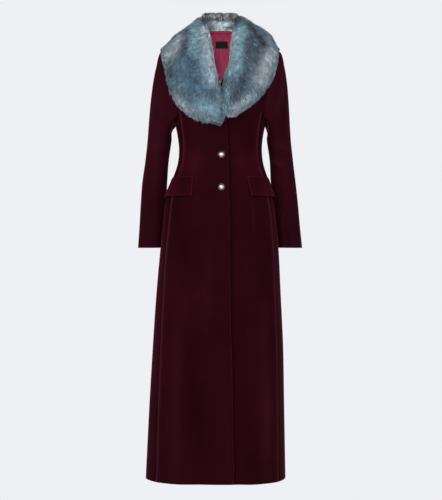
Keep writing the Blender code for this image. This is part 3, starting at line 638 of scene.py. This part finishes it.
def crease_rise(across, upward, table, names=LINE):
    """Height of soft creases at places given by two lengths on the cloth."""
    rise = np.zeros(len(across))
    for row in range(len(table["rise"])):
        share, off = beside_line(across, upward, table, row, names)
        fullness = CREASE_END + (1.0 - CREASE_END) * np.sin(math.pi * share)
        rise += table["rise"][row] * fullness * falloff(off, table["width"][row])
    return rise


def body_rise(points):
    """Creases of the body panels, those of the front and of the back."""
    ahead = ease(-points[:, 1] / FACE_BLEND)
    behind = ease(points[:, 1] / FACE_BLEND)
    front = crease_rise(points[:, 0], points[:, 2], FRONT_CREASES)
    back = crease_rise(points[:, 0], points[:, 2], BACK_CREASES)
    return ahead * front + behind * back


def sleeve_rise(points, side):
    """Creases of a sleeve, by the turn round it."""
    sign = -1.0 if side == "right" else 1.0
    away = points[:, :2] - sleeve_middle(side, points[:, 2])
    turn = np.degrees(np.arctan2(-away[:, 1], sign * away[:, 0]))
    arc = np.radians(1.0) * SLEEVE_RADIUS
    table = dict(SLEEVE_CREASES)
    table["arc0"] = SLEEVE_CREASES["turn0"] * arc
    table["arc1"] = SLEEVE_CREASES["turn1"] * arc
    rise = crease_rise(turn * arc, points[:, 2], table, ("arc0", "z0", "arc1", "z1"))
    return SLEEVE_SHARES[side] * rise


def rim_edges(shape):
    """Edges where a wall turns over its rim."""
    paired = [edge for edge in shape.edges if len(edge.link_faces) == 2]
    return {edge for edge in paired if edge.calc_face_angle() > RIM_ANGLE}


def wall_sides(shape, outward_of):
    """Faces of a wall's outer and inner side: the two largest regions between its rim edges."""
    rims = rim_edges(shape)
    unseen = set(shape.faces)
    regions = []
    while unseen:
        waiting = [unseen.pop()]
        region = []
        while waiting:
            face = waiting.pop()
            region.append(face)
            for edge in face.edges:
                if edge not in rims:
                    near = [other for other in edge.link_faces if other in unseen]
                    unseen.difference_update(near)
                    waiting.extend(near)
        regions.append(region)
    regions.sort(key=lambda region: sum(face.calc_area() for face in region))
    facing = []
    for region in regions[-2:]:
        centres = np.array([face.calc_center_median() for face in region])
        normals = np.array([face.normal for face in region])
        facing.append((normals * outward_of(centres)).sum(axis=1).mean())
    first, second = regions[-2:]
    return (first, second) if facing[0] > facing[1] else (second, first)


def banded_wall(name, outward_of):
    """Copy of a packed wall in four-sided faces, with a narrow band along its rim."""
    shape = packed_shape(name)
    bmesh.ops.join_triangles(
        shape, faces=shape.faces, angle_face_threshold=QUAD_ANGLE, angle_shape_threshold=QUAD_SHAPE
    )
    shape.normal_update()
    outer, inner = wall_sides(shape, outward_of)
    rim_layer = shape.verts.layers.float.new(RIM_SHARE)
    outer_layer = shape.verts.layers.float.new(OUTER_SHARE)
    for edge in rim_edges(shape):
        for vertex in edge.verts:
            vertex[rim_layer] = 1.0
    band = bmesh.ops.inset_region(shape, faces=outer, thickness=EDGE_BAND, use_even_offset=True)["faces"]
    bmesh.ops.inset_region(shape, faces=inner, thickness=EDGE_BAND, use_even_offset=True)
    for face in outer + band:
        for vertex in face.verts:
            vertex[outer_layer] = 1.0
    for face in outer + inner:
        for vertex in face.verts:
            vertex[rim_layer] = 0.0
    for face in shape.faces:
        face.material_index = 0
        face.smooth = True
    for face in inner:
        centre = face.calc_center_median()
        at_armhole = abs(centre.x) > ARMHOLE_X and centre.z > ARMHOLE_Z
        face.material_index = 0 if at_armhole else 1
    crease = shape.edges.layers.float.new("crease_edge")
    for edge in rim_edges(shape):
        edge[crease] = 1.0
    return finished(shape, name + "_wall")


def subdivided(mesh, levels):
    """The mesh after a subdivision surface that runs through all its own points."""
    carrier = put_in("carrier", mesh)
    step = carrier.modifiers.new("fine", "SUBSURF")
    step.levels = levels
    step.render_levels = levels
    wanted = points_of(mesh)
    held = wanted.copy()
    for _ in range(FITTING_ROUNDS):
        fine = fine_copy(carrier)
        held += wanted - points_of(fine)[: len(wanted)]
        bpy.data.meshes.remove(fine)
        mesh.vertices.foreach_set("co", held.astype(np.float32).ravel())
        mesh.update()
    fine = fine_copy(carrier)
    points = points_of(fine)
    points[:, 2] = np.clip(points[:, 2], wanted[:, 2].min(), wanted[:, 2].max())
    fine.vertices.foreach_set("co", points.astype(np.float32).ravel())
    fine.update()
    bpy.data.objects.remove(carrier)
    bpy.data.meshes.remove(mesh)
    return fine


def fine_copy(carrier):
    """The mesh of an object after its modifiers."""
    graph = bpy.context.evaluated_depsgraph_get()
    graph.update()
    return bpy.data.meshes.new_from_object(carrier.evaluated_get(graph))


def vertex_values(mesh, name):
    """Values of a point attribute."""
    found = np.zeros(len(mesh.vertices), dtype=np.float32)
    mesh.attributes[name].data.foreach_get("value", found)
    return found.astype(float)


def add_piece(name, mesh, materials, nodes=()):
    """Put a finished mesh into the scene as a piece of the coat."""
    for material in materials:
        mesh.materials.append(material)
    piece = put_in(name, mesh)
    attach(piece, "root")
    if nodes:
        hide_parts(*nodes)
    return piece


def paint(mesh, name, colours):
    """Give a mesh a named layer of colours, one at each point."""
    painted = np.ones((len(colours), 4), dtype=np.float32)
    painted[:, :3] = colours
    layer = mesh.color_attributes.new(name, "FLOAT_COLOR", "POINT")
    layer.data.foreach_set("color", painted.ravel())


def rich_share(name, points):
    """Share of the richer red painted sheen at each point of a velvet piece."""
    aside = np.abs(points[:, 0])
    if name in FLAPS:
        return FLAP_SHEEN + FLAP_END_SHEEN * ease((aside - FLAP_SHEEN_X) / SHEEN_REACH)
    if name in BODY_FRONTS:
        level = falloff(points[:, 2] - WAIST_Z, WAIST_REACH)
        return WAIST_SHEEN * level * ease((aside - WAIST_SHEEN_X) / SHEEN_REACH)
    return np.zeros(len(points))


def paint_nap(mesh, name, points, rim, rise):
    """Shares of painted highlight, painted shade and painted sheen at each point of a velvet piece."""
    # Painted highlight on crease ridges and painted shade in crease troughs
    pale = CREASE_LIGHT_SHADE * np.clip(rise / CREASE_FULL, 0.0, 1.0)
    # An even painted sheen over the sleeves
    if name in SLEEVE_PANELS:
        pale += SLEEVE_PAINTED_SHEEN
    dark = CREASE_LIGHT_SHADE * np.clip(-rise / CREASE_FULL, 0.0, 1.0)
    # Painted highlight along the side-front seams, painted shadow beside the edge of the overlapping front
    # and painted shade on the side panels beside the fronts
    for other, reach, pale_share, dark_share in SEAM_LIGHT_SHADE.get(name, ()):
        _, _, away = nearest(solid_shape(other)[3], points)
        beside = falloff(away, reach)
        pale += pale_share * beside
        dark += dark_share * beside
    # Painted highlight along the edges of the fronts and flaps, below the underarm
    if name in LIT_EDGES:
        pale = np.maximum(pale, EDGE_HIGHLIGHT * rim * ease((UNDERARM_Z - points[:, 2]) / FACE_BLEND))
    shares = (np.clip(pale, 0.0, 1.0), np.clip(dark, 0.0, 1.0), rich_share(name, points))
    paint(mesh, PAINTED_LIGHT_LAYER, np.stack(shares, axis=1))


def rim_directions(mesh, rim):
    """Directions out of the narrow faces of the rim, at each point."""
    found = np.zeros((len(rim), 3))
    for face in mesh.polygons:
        corners = list(face.vertices)
        if rim[corners].min() > RIM_FULL:
            found[corners] += np.array(face.normal) * face.area
    return unit_rows(found)


def joined_tree(shapes):
    """Search tree of several shapes, each given by its points and the corners of its faces."""
    points = []
    corners = []
    for places, faces in shapes:
        start = len(points)
        points.extend(places.tolist())
        corners.extend([start + int(corner) for corner in face] for face in faces)
    return BVHTree.FromPolygons(points, corners)


def place_tree(places):
    """Search tree of single places."""
    tree = KDTree(len(places))
    for row, place in enumerate(places):
        tree.insert(Vector(place), row)
    tree.balance()
    return tree


def drawn_up(points, rim, body_tree, other_half):
    """Points of a sleeve panel with its top edge drawn up to the body along the armhole seam."""
    on, _, away = nearest(body_tree, points)
    _, _, from_half = nearest(other_half, points)
    seam = (rim > RIM_FULL) & (away < SEAM_REACH) & ((from_half > SEAM_CORNER) | (away < SEAM_CORNER))
    steps = on[seam] - points[seam]
    tree = place_tree(points[seam])
    moved = points.copy()
    for row in np.flatnonzero(away < SEAM_BLEND + SEAM_REACH):
        found = tree.find_n(Vector(points[row]), SEAM_NEIGHBOURS)
        share = ease(1.0 - found[0][2] / SEAM_BLEND)
        moved[row] += share * steps[[near[1] for near in found]].mean(axis=0)
    return moved


def make_cloth(name, outward_of, rise_of, materials, slot, draw=None):
    """Fine wall over a packed panel, with its creases and softly turned edges."""
    mesh = subdivided(banded_wall(name, outward_of), CLOTH_LEVELS)
    points = points_of(mesh)
    rim = vertex_values(mesh, RIM_SHARE)
    points += RIM_SPREAD * rim_directions(mesh, rim)
    if draw:
        points = draw(points, rim)
    outer_rim = rim * vertex_values(mesh, OUTER_SHARE)
    rise = rise_of(points) * (1.0 - rim)
    lift = rise - EDGE_DIP * outer_rim ** 2
    if slot == "velvet":
        paint_nap(mesh, name, points, outer_rim, rise)
    points += outward_of(points) * lift[:, None]
    mesh.vertices.foreach_set("co", points.astype(np.float32).ravel())
    mesh.attributes.remove(mesh.attributes[RIM_SHARE])
    mesh.attributes.remove(mesh.attributes[OUTER_SHARE])
    mesh.name = name + "_cloth"
    mesh.set_sharp_from_angle(angle=SHARP_ANGLE)
    mesh.update()
    piece = add_piece(name + "_cloth", mesh, materials, (name,))
    return piece


def solid_shape(name):
    """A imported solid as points, smooth directions, triangles and a search tree."""
    shape = packed_shape(name)
    bmesh.ops.triangulate(shape, faces=shape.faces)
    shape.normal_update()
    shape.verts.index_update()
    points = np.array([vertex.co for vertex in shape.verts])
    normals = np.array([vertex.normal for vertex in shape.verts])
    triangles = np.array([[vertex.index for vertex in face.verts] for face in shape.faces])
    tree = BVHTree.FromBMesh(shape)
    shape.free()
    return points, normals, triangles, tree


def distances(tree, origins, directions, most):
    """How far each ray runs before it meets the tree, up to a most."""
    found = np.full(len(origins), most)
    for row, (origin, direction) in enumerate(zip(origins, directions)):
        hit = tree.ray_cast(Vector(origin), Vector(direction), most)
        if hit[3] is not None:
            found[row] = hit[3]
    return found


def nearest(tree, places):
    """Nearest points of a tree, with the directions there and the distances."""
    points = np.zeros_like(places)
    normals = np.zeros_like(places)
    away = np.zeros(len(places))
    for row, place in enumerate(places):
        points[row], normals[row], _, away[row] = tree.find_nearest(Vector(place))
    return points, normals, away


def hair_depth(tree, points, normals):
    """How deep the skin lies under the hair tips, less where the collar is thin."""
    thickness = distances(tree, points - normals * RAY_START, -normals, THICK_MOST)
    return np.minimum(HAIR_DEPTH, thickness * HAIR_DEPTH_SHARE)


def bears_hair(coat_tree, points, normals):
    """False for the seat of the collar, which lies on the coat."""
    _, coat_normals, above_coat = nearest(coat_tree, points)
    run = distances(coat_tree, points + normals * RAY_START, normals, SEAT_REACH)
    clear = run > SEAT_REACH * CLEAR_SHARE
    return clear | (above_coat > SEAT_REACH) | ((normals * coat_normals).sum(axis=1) > SEAT_FACING)


def level_joint(points, normals):
    """Directions without their turn to the side at the centre-back joint."""
    turned = normals.copy()
    behind = points[:, 1] > 0.0
    turned[behind, 0] *= ease(np.abs(points[behind, 0]) / JOINT_BLEND)
    return unit_rows(turned)


def pressed_share(points, normals):
    """Where the upper side of the collar lies flatter."""
    share = segment_weight(points[:, 0], points[:, 2], 0, PRESSED)
    return share * ease(normals[:, 2] / PRESS_FACING)


def from_neck(points):
    """Level direction away from the middle of the neck."""
    return unit_rows(points * (1.0, 1.0, 0.0) - (0.0, NECK_AXIS_Y, 0.0))


def hair_flow(points, normals, side):
    """Direction of the hair: out and down, up beside the neck, over at the lapel edge."""
    radial = from_neck(points)
    facing = ease(0.5 + (normals * radial).sum(axis=1) / FLOW_TURN)
    flow = radial * FLOW_OUT
    flow[:, 2] = FLOW_UP_INSIDE * (1.0 - facing) - FLOW_DOWN * facing
    lapel = ease((LAPEL_REACH - np.abs(points[:, 0])) / LAPEL_REACH)
    lapel *= ease((LAPEL_TOP_Z - points[:, 2]) / LAPEL_FADE)
    flow[:, 0] += LAPEL_FLOWS[side] * lapel
    return unit_rows(flow)


def segment_weight(across, upward, row, table):
    """Weight of a soft band that runs along a short line."""
    _, off = beside_line(across, upward, table, row)
    return table["strength"][row] * falloff(off, table["width"][row])


def hair_tones(points, normals, wander):
    """Colour of the hair by its place: dyed bands that run along the collar, and painted shadow of the
    folds beside the neck.
    """
    tones = np.tile(FUR_TONES["mid_blue"], (len(points), 1))
    across = points[:, 0] + wander[:, 0]
    upward = points[:, 2] + wander[:, 1]
    ahead = ease(0.5 - points[:, 1] / BAND_TURN)
    whole = np.ones(len(points))
    for table, share in ((FRONT_BANDS, ahead), (BACK_BANDS, 1.0 - ahead), (TOP_BANDS, whole)):
        for row in range(len(table["x0"])):
            weight = (segment_weight(across, upward, row, table) * share)[:, None]
            tones = mixed(tones, FUR_TONES[str(table["tone"][row])], weight)
    radial = from_neck(points)
    inside = ease(-(normals * radial).sum(axis=1) / INSIDE_TURN) * ease(points[:, 1] / INSIDE_DEPTH)
    inside *= 1.0 - INSIDE_FADE * ease((np.abs(points[:, 0]) - INSIDE_HALF) / INSIDE_SPAN)
    tones = mixed(tones, FUR_TONES["inside"], inside[:, None])
    return mixed(tones, FUR_TONES["fringe"], top_fringe(points)[:, None])


def top_fringe(points):
    """Share of the dark fringe that stands along the top of the back collar."""
    return ease((points[:, 2] - TOP_FRINGE_Z) / TOP_FRINGE_RISE)


def sample_hair(points, normals, triangles, bearing, count, rng):
    """Random roots over the triangles that bear hair, with smooth directions."""
    chosen = triangles[bearing[triangles].sum(axis=1) > 1]
    a, b, c = points[chosen[:, 0]], points[chosen[:, 1]], points[chosen[:, 2]]
    areas = np.linalg.norm(np.cross(b - a, c - a), axis=1)
    picked = rng.choice(len(chosen), size=count, p=areas / areas.sum())
    shares = rng.random((count, 2))
    over = shares.sum(axis=1) > 1.0
    shares[over] = 1.0 - shares[over]
    weights = np.stack((1.0 - shares.sum(axis=1), shares[:, 0], shares[:, 1]), axis=1)
    corners = chosen[picked]
    places = (points[corners] * weights[:, :, None]).sum(axis=1)
    directions = unit_rows((normals[corners] * weights[:, :, None]).sum(axis=1))
    return places, directions


def clump(values, leaders, pull):
    """Draw each row towards the row of its leader."""
    return values + (values[leaders] - values) * pull


def hair_leaders(places, share, rng):
    """For each hair, the nearest of a few leading hairs."""
    count = max(1, int(len(places) * share))
    leading = rng.choice(len(places), size=count, replace=False)
    tree = place_tree(places[leading])
    return np.array([leading[tree.find(Vector(place))[1]] for place in places])


def held_near(tree, places, stand):
    """Places drawn back to a stand above the solid, and its directions there."""
    on, normals, away = nearest(tree, places)
    share = np.minimum(1.0, stand / np.maximum(away, 1e-9))[:, None]
    return on + (places - on) * share, normals


def near_corner(points):
    """Nearness to the outer corner of the collar on the wearer's left shoulder."""
    away = np.linalg.norm(points - np.array(SHOULDER_CORNER), axis=1)
    return falloff(away, SHOULDER_REACH)


def hair_lines(tree, coat_tree, places, directions, side, rng):
    """Root, middle and tip of each hair, over the solid and a little past its edges."""
    _, coat_normals, above_coat = nearest(coat_tree, places)
    near_edge = ease((EDGE_HAIR_REACH - above_coat) / EDGE_HAIR_REACH)
    flow = hair_flow(places, directions, side)
    plane = unit_rows(mixed(directions, coat_normals, near_edge[:, None]))
    flow -= plane * ((flow * plane).sum(axis=1) - EDGE_LIFT * near_edge)[:, None]
    high = top_fringe(places)[:, None]
    flow = mixed(unit_rows(flow), np.array((0.0, 0.0, 1.0)), high)
    sway = rng.normal(0.0, HAIR_SWAY, len(places))[:, None]
    corner = near_corner(places)
    flow = unit_rows(flow + np.cross(flow, plane) * sway)
    flow[:, 2] -= SHOULDER_DROOP * corner
    flow = unit_rows(flow)
    length = HAIR_LENGTH * rng.uniform(*LENGTH_SPREAD, len(places))
    kept = 1.0 - SHOULDER_TRIM * corner
    length *= (1.0 - EDGE_HAIR_TRIM * near_edge) * kept
    depth = hair_depth(tree, places, directions)[:, None]
    leaders = hair_leaders(places, CLUMP_SHARE, rng)
    stand = np.abs(rng.normal(0.0, 1.0, len(places))) * (TIP_STAND + TIP_EDGE_STAND * near_edge)
    stand = np.where(high[:, 0] > FRINGE_FROM, stand[leaders] * FRINGE_STAND, stand)
    stand = np.minimum(stand, TIP_MOST) * kept
    middles, middle_normal = held_near(tree, places + flow * (length * 0.5)[:, None], stand * 0.5)
    tips, tip_normal = held_near(tree, places + flow * length[:, None], stand)
    lowness = rng.uniform(*TIP_DEPTHS, len(places)) * (1.0 - near_edge) + FRINGE_DIP * high[:, 0]
    pressed = PRESS_DEPTH * pressed_share(places, directions)[:, None]
    roots = places - directions * (depth + pressed)
    middles -= middle_normal * (depth * MIDDLE_DEPTH + pressed)
    tips -= tip_normal * (depth * lowness[:, None] + pressed)
    tips = clump(tips, leaders, TIP_CLUMP)
    flyaway = rng.random(len(places)) < FLYAWAY_SHARE
    loose = flyaway * rng.random(len(places)) * FLYAWAY_RISE * (1.0 - high[:, 0])
    tips += tip_normal * loose[:, None]
    return roots, clump(middles, leaders, MIDDLE_CLUMP), tips, leaders, near_edge


def hair_mesh(name, roots, middles, tips, normals, colours, rng):
    """One mesh of flat tapered hairs, with their colours from root to tip."""
    count = len(roots)
    bend = 2.0 * middles - 0.5 * (roots + tips)
    along = unit_rows(tips - roots)
    across = unit_rows(np.cross(along, normals))
    twist = rng.uniform(-HAIR_TWIST, HAIR_TWIST, count)[:, None]
    across = across * np.cos(twist) + normals * np.sin(twist)
    width = HAIR_WIDTH * rng.uniform(*WIDTH_SPREAD, count)[:, None]
    rings = []
    for t, share in HAIR_STEPS:
        centre = (1 - t) ** 2 * roots + 2 * t * (1 - t) * bend + t * t * tips
        rings.append(centre - across * width * share / 2)
        rings.append(centre + across * width * share / 2)
    rings.append(tips)
    per_hair = len(rings)
    points = np.stack(rings, axis=1).reshape(-1, 3)
    first = np.arange(count) * per_hair
    corners = []
    for ring in range(0, per_hair - 3, 2):
        corners.append(np.stack((first + ring, first + ring + 1, first + ring + 3), axis=1))
        corners.append(np.stack((first + ring, first + ring + 3, first + ring + 2), axis=1))
    corners.append(np.stack((first + per_hair - 3, first + per_hair - 2, first + per_hair - 1), axis=1))
    triangles = np.concatenate(corners)
    mesh = bpy.data.meshes.new(name)
    mesh.vertices.add(len(points))
    mesh.vertices.foreach_set("co", points.astype(np.float32).ravel())
    mesh.loops.add(len(triangles) * 3)
    mesh.loops.foreach_set("vertex_index", triangles.astype(np.int32).ravel())
    mesh.polygons.add(len(triangles))
    mesh.polygons.foreach_set("loop_start", np.arange(0, len(triangles) * 3, 3, dtype=np.int32))
    mesh.update(calc_edges=True)
    mesh.shade_smooth()
    paint(mesh, FUR_COLOURS, colours.reshape(-1, 3))
    return mesh


def hair_colours(roots, middles, tips, normals, near_edge, leaders, rng):
    """Colours of each ring of points of each hair, from a root darkened as painted shade to a pale or brown
    tip, with painted light on the tips near the edges.
    """
    count = len(roots)
    wander = rng.normal(0.0, BAND_WANDER, (count, 2))
    shade = np.exp(rng.normal(0.0, CLUMP_SHADE, count))[leaders]
    shade *= np.exp(rng.normal(0.0, HAIR_SHADE, count))
    parts = (roots, middles, tips)
    low, body, end = (hair_tones(places, normals, wander) * shade[:, None] for places in parts)
    high = top_fringe(tips)
    fringe = high > FRINGE_FROM
    kind = rng.random(count)
    kind = np.where(fringe & (rng.random(count) < FRINGE_TUFTS), kind[leaders], kind)
    brown = kind < BROWN_SHARE + BROWN_EDGE_SHARE * near_edge + BROWN_TOP_SHARE * high
    pale = kind > 1.0 - PALE_SHARE - PALE_EDGE_SHARE * near_edge - PALE_TOP_SHARE * high
    edge = near_edge[:, None]
    end = end * (1.0 - EDGE_GREY * edge) + FUR_TONES["grey"] * EDGE_GREY * edge
    end[brown] = FUR_TONES["taupe"]
    end[pale] = FUR_TONES["tip_pale"]
    body[brown & fringe] = FUR_TONES["taupe"] * FRINGE_BROWN
    body[pale & fringe] = FUR_TONES["tip_pale"]
    # Painted shade at the roots and lower middles, painted light on the tips near the edges
    low *= ROOT_SHADE + ROOT_EDGE_SHADE * edge
    end *= 1.0 + TIP_EDGE_LIGHT * edge
    rings = [low, body * LOWER_BODY, body * UPPER_BODY + end * UPPER_END, end]
    doubled = [ring for ring in rings[:-1] for _ in range(2)] + [rings[-1]]
    return np.stack(doubled, axis=1)


def make_skin(name, points, triangles):
    """Skin under the hair, in the hair's tones darkened as painted shade."""
    mesh = bpy.data.meshes.new(name)
    mesh.from_pydata(points.tolist(), [], triangles.tolist())
    mesh = subdivided(mesh, SKIN_LEVELS)
    mesh.name = name
    mesh.shade_smooth()
    places = points_of(mesh)
    facing = np.array([vertex.normal for vertex in mesh.vertices])
    # The skin is painted in the hair's tones, darkened as painted shade
    paint(mesh, FUR_COLOURS, SKIN_SHADE * hair_tones(places, facing, np.zeros((len(places), 2))))
    return mesh


def make_collar(node, coat_tree, material, rng):
    """One half of the fur collar: its skin, and its hair in two layers."""
    points, normals, triangles, tree = solid_shape(node)
    normals = level_joint(points, normals)
    bearing = bears_hair(coat_tree, points, normals)
    depth = hair_depth(tree, points, normals) + PRESS_DEPTH * pressed_share(points, normals)
    inward = np.where(bearing, depth, 0.0)[:, None]
    under = make_skin(node + "_skin", points - normals * inward, triangles)
    skin = add_piece(node + "_skin", under, [material], (node,))
    places, directions = sample_hair(points, normals, triangles, bearing, HAIR_COUNT, rng)
    side = node.rsplit("_", 1)[1]
    roots, middles, tips, leaders, near_edge = hair_lines(tree, coat_tree, places, directions, side, rng)
    colours = hair_colours(roots, middles, tips, directions, near_edge, leaders, rng)
    half = HAIR_COUNT // 2
    for layer, rows in (("a", slice(0, half)), ("b", slice(half, HAIR_COUNT))):
        name = node + "_hair_" + layer
        mesh = hair_mesh(name, roots[rows], middles[rows], tips[rows], directions[rows], colours[rows], rng)
        add_piece(name, mesh, [material])


def lathe(shape, profile, segments, centre, axes, material_index, smooth):
    """Turned surface about the third of the axes; an outline that ends on the axis is closed there."""
    across, upward, out = axes
    rings = []
    for radius, height in profile:
        turns = [2 * math.pi * segment / segments for segment in range(segments)]
        ring = [
            shape.verts.new(centre + (across * math.cos(t) + upward * math.sin(t)) * radius + out * height)
            for t in turns
        ]
        rings.append(ring)
    faces = [shape.faces.new(rings[0][::-1]), shape.faces.new(rings[-1])]
    for low, high in zip(rings, rings[1:]):
        for segment in range(segments):
            after = (segment + 1) % segments
            faces.append(shape.faces.new((low[segment], low[after], high[after], high[segment])))
    for face in faces:
        face.material_index = material_index
        face.smooth = smooth


def make_button(node, materials):
    """Faceted silver dome in a dark turned rim, on the place of its packed button."""
    points = points_of(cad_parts[node].data)
    centre = (points.min(axis=0) + points.max(axis=0)) / 2
    out = np.linalg.svd(points - points.mean(axis=0))[2][2]
    out = out * (-1.0 if out[1] > 0.0 else 1.0)
    base = centre + out * ((points - centre) @ out).min()
    across = unit_rows(np.cross((0.0, 0.0, 1.0), out)[None, :])[0]
    axes = [Vector(axis) for axis in (across, np.cross(out, across), out)]
    shape = bmesh.new()
    lathe(shape, BUTTON_RIM, RIM_SEGMENTS, Vector(base), axes, 1, True)
    lathe(shape, BUTTON_DOME, DOME_SEGMENTS, Vector(base), axes, 0, False)
    mesh = finished(shape, node + "_metal")
    mesh.set_sharp_from_angle(angle=SHARP_ANGLE)
    return add_piece(node + "_metal", mesh, materials, (node,))


def make_stage():
    """Pale round floor well below the hem."""
    shape = bmesh.new()
    bmesh.ops.create_circle(shape, cap_ends=True, radius=FLOOR_RADIUS, segments=FLOOR_SEGMENTS)
    for vertex in shape.verts:
        vertex.co.z = FLOOR_Z
    mesh = finished(shape, "floor")
    material, tree, shader = new_material("paper", 0.9, 0.1)
    grain = add_noise(tree, 4.0, 2.0)
    paler = tuple(GRAIN_SHARE * part for part in PAPER)
    tree.links.new(add_ramp(tree, grain, ((0.3, paler), (0.7, PAPER))), shader.inputs["Base Color"])
    mesh.materials.append(material)
    floor = put_in("floor", mesh)


def add_light(name, place, target, size, power, colour):
    """Large soft lamp that points at a place on the coat."""
    lamp = bpy.data.lights.new(name, "AREA")
    lamp.shape = "RECTANGLE"
    lamp.size, lamp.size_y = size
    lamp.energy = power
    lamp.color = colour
    item = put_in(name, lamp)
    item.location = place
    item.rotation_euler = (Vector(target) - Vector(place)).to_track_quat("-Z", "Y").to_euler()


def make_studio():
    """Even pale surroundings, soft lamps and the camera."""
    scene = bpy.context.scene
    scene.view_settings.view_transform = "Standard"
    world = bpy.data.worlds.new("studio")
    world.use_nodes = True
    surroundings = world.node_tree.nodes["Background"]
    surroundings.inputs["Color"].default_value = (*PAPER, 1.0)
    surroundings.inputs["Strength"].default_value = 1.0
    scene.world = world
    for lamp in LAMPS:
        add_light(*lamp)
    lens = bpy.data.cameras.new("camera")
    lens.lens = FOCAL_MM
    lens.sensor_width = SENSOR_MM
    camera = put_in("camera", lens)
    camera.location = CAMERA_PLACE
    camera.rotation_euler = (math.radians(90.0), 0.0, 0.0)
    scene.camera = camera


def lining_rise(points):
    """Soft upright folds of the lining, which stand in from the back."""
    return crease_rise(points[:, 0], points[:, 2], LINING_CREASES)


def lining_drop(points, rim):
    """The lining hangs on a little below its packed end."""
    top = points[:, 2].max()
    share = (top - points[:, 2]) / (top - points[:, 2].min())
    dropped = points.copy()
    dropped[:, 2] -= LINING_DROP * share ** 3
    return dropped


def flap_place(points):
    """Shares of the way to a flap's outer end and to its lower edge."""
    end = ease((points[:, 1] - FLAP_END_START) / FLAP_END_REACH)
    low = ease((FLAP_TOP_Z - points[:, 2]) / FLAP_DROP)
    return end, low


def flap_hang(points, rim):
    """A flap's lower edge hung a little lower, most at its outer end, down the slope of the hip."""
    end, low = flap_place(points)
    drop = (FLAP_HANG + FLAP_END_HANG * end) * low
    hung = points + body_outward(points) * (FLAP_SLOPE * drop)[:, None]
    hung[:, 2] -= drop
    return hung


def flap_rise(points):
    """Flaps lie closer to the hip towards their ends at the side."""
    end, low = flap_place(points)
    return -FLAP_PRESS * end * low


def no_rise(points):
    """Cloth that lies flat."""
    return np.zeros(len(points))


def main():
    """Build the studio, the velvet, the lining, the buttons and the fur."""
    make_stage()
    make_studio()
    velvet = make_velvet()
    satin = make_lining()
    label_cloth = make_label_cloth()
    body = [make_cloth(name, body_outward, body_rise, [velvet, satin], "velvet") for name in BODY_PANELS]
    meshes = [piece.data for piece in body]
    body_tree = joined_tree((points_of(mesh), [face.vertices for face in mesh.polygons]) for mesh in meshes)
    for name in SLEEVE_PANELS:
        _, half, side = name.split("_")
        other = solid_shape(f"sleeve_{OTHER_HALF[half]}_{side}")[3]
        make_cloth(
            name,
            lambda points, side=side: sleeve_outward(points, side),
            lambda points, side=side: sleeve_rise(points, side),
            [velvet, velvet],
            "velvet",
            lambda points, rim, other=other: drawn_up(points, rim, body_tree, other),
        )
    for name in FLAPS:
        make_cloth(name, body_outward, flap_rise, [velvet, satin], "velvet", flap_hang)
    make_cloth("lining_back", body_outward, lining_rise, [satin, satin], "lining", lining_drop)
    make_cloth("label", body_outward, no_rise, [label_cloth, label_cloth], "label")
    metals = [make_metal("dome_silver", SILVER, 0.34), make_metal("rim_metal", RIM_METAL, 0.30)]
    for node in BUTTONS:
        make_button(node, metals)
    fur = make_fur()
    panels = [solid_shape(name) for name in BODY_PANELS + SLEEVE_PANELS]
    coat_tree = joined_tree((points, triangles) for points, _, triangles, _ in panels)
    rng = np.random.default_rng(HAIR_SEED)
    for node in COLLARS:
        make_collar(node, coat_tree, fur, rng)


main()
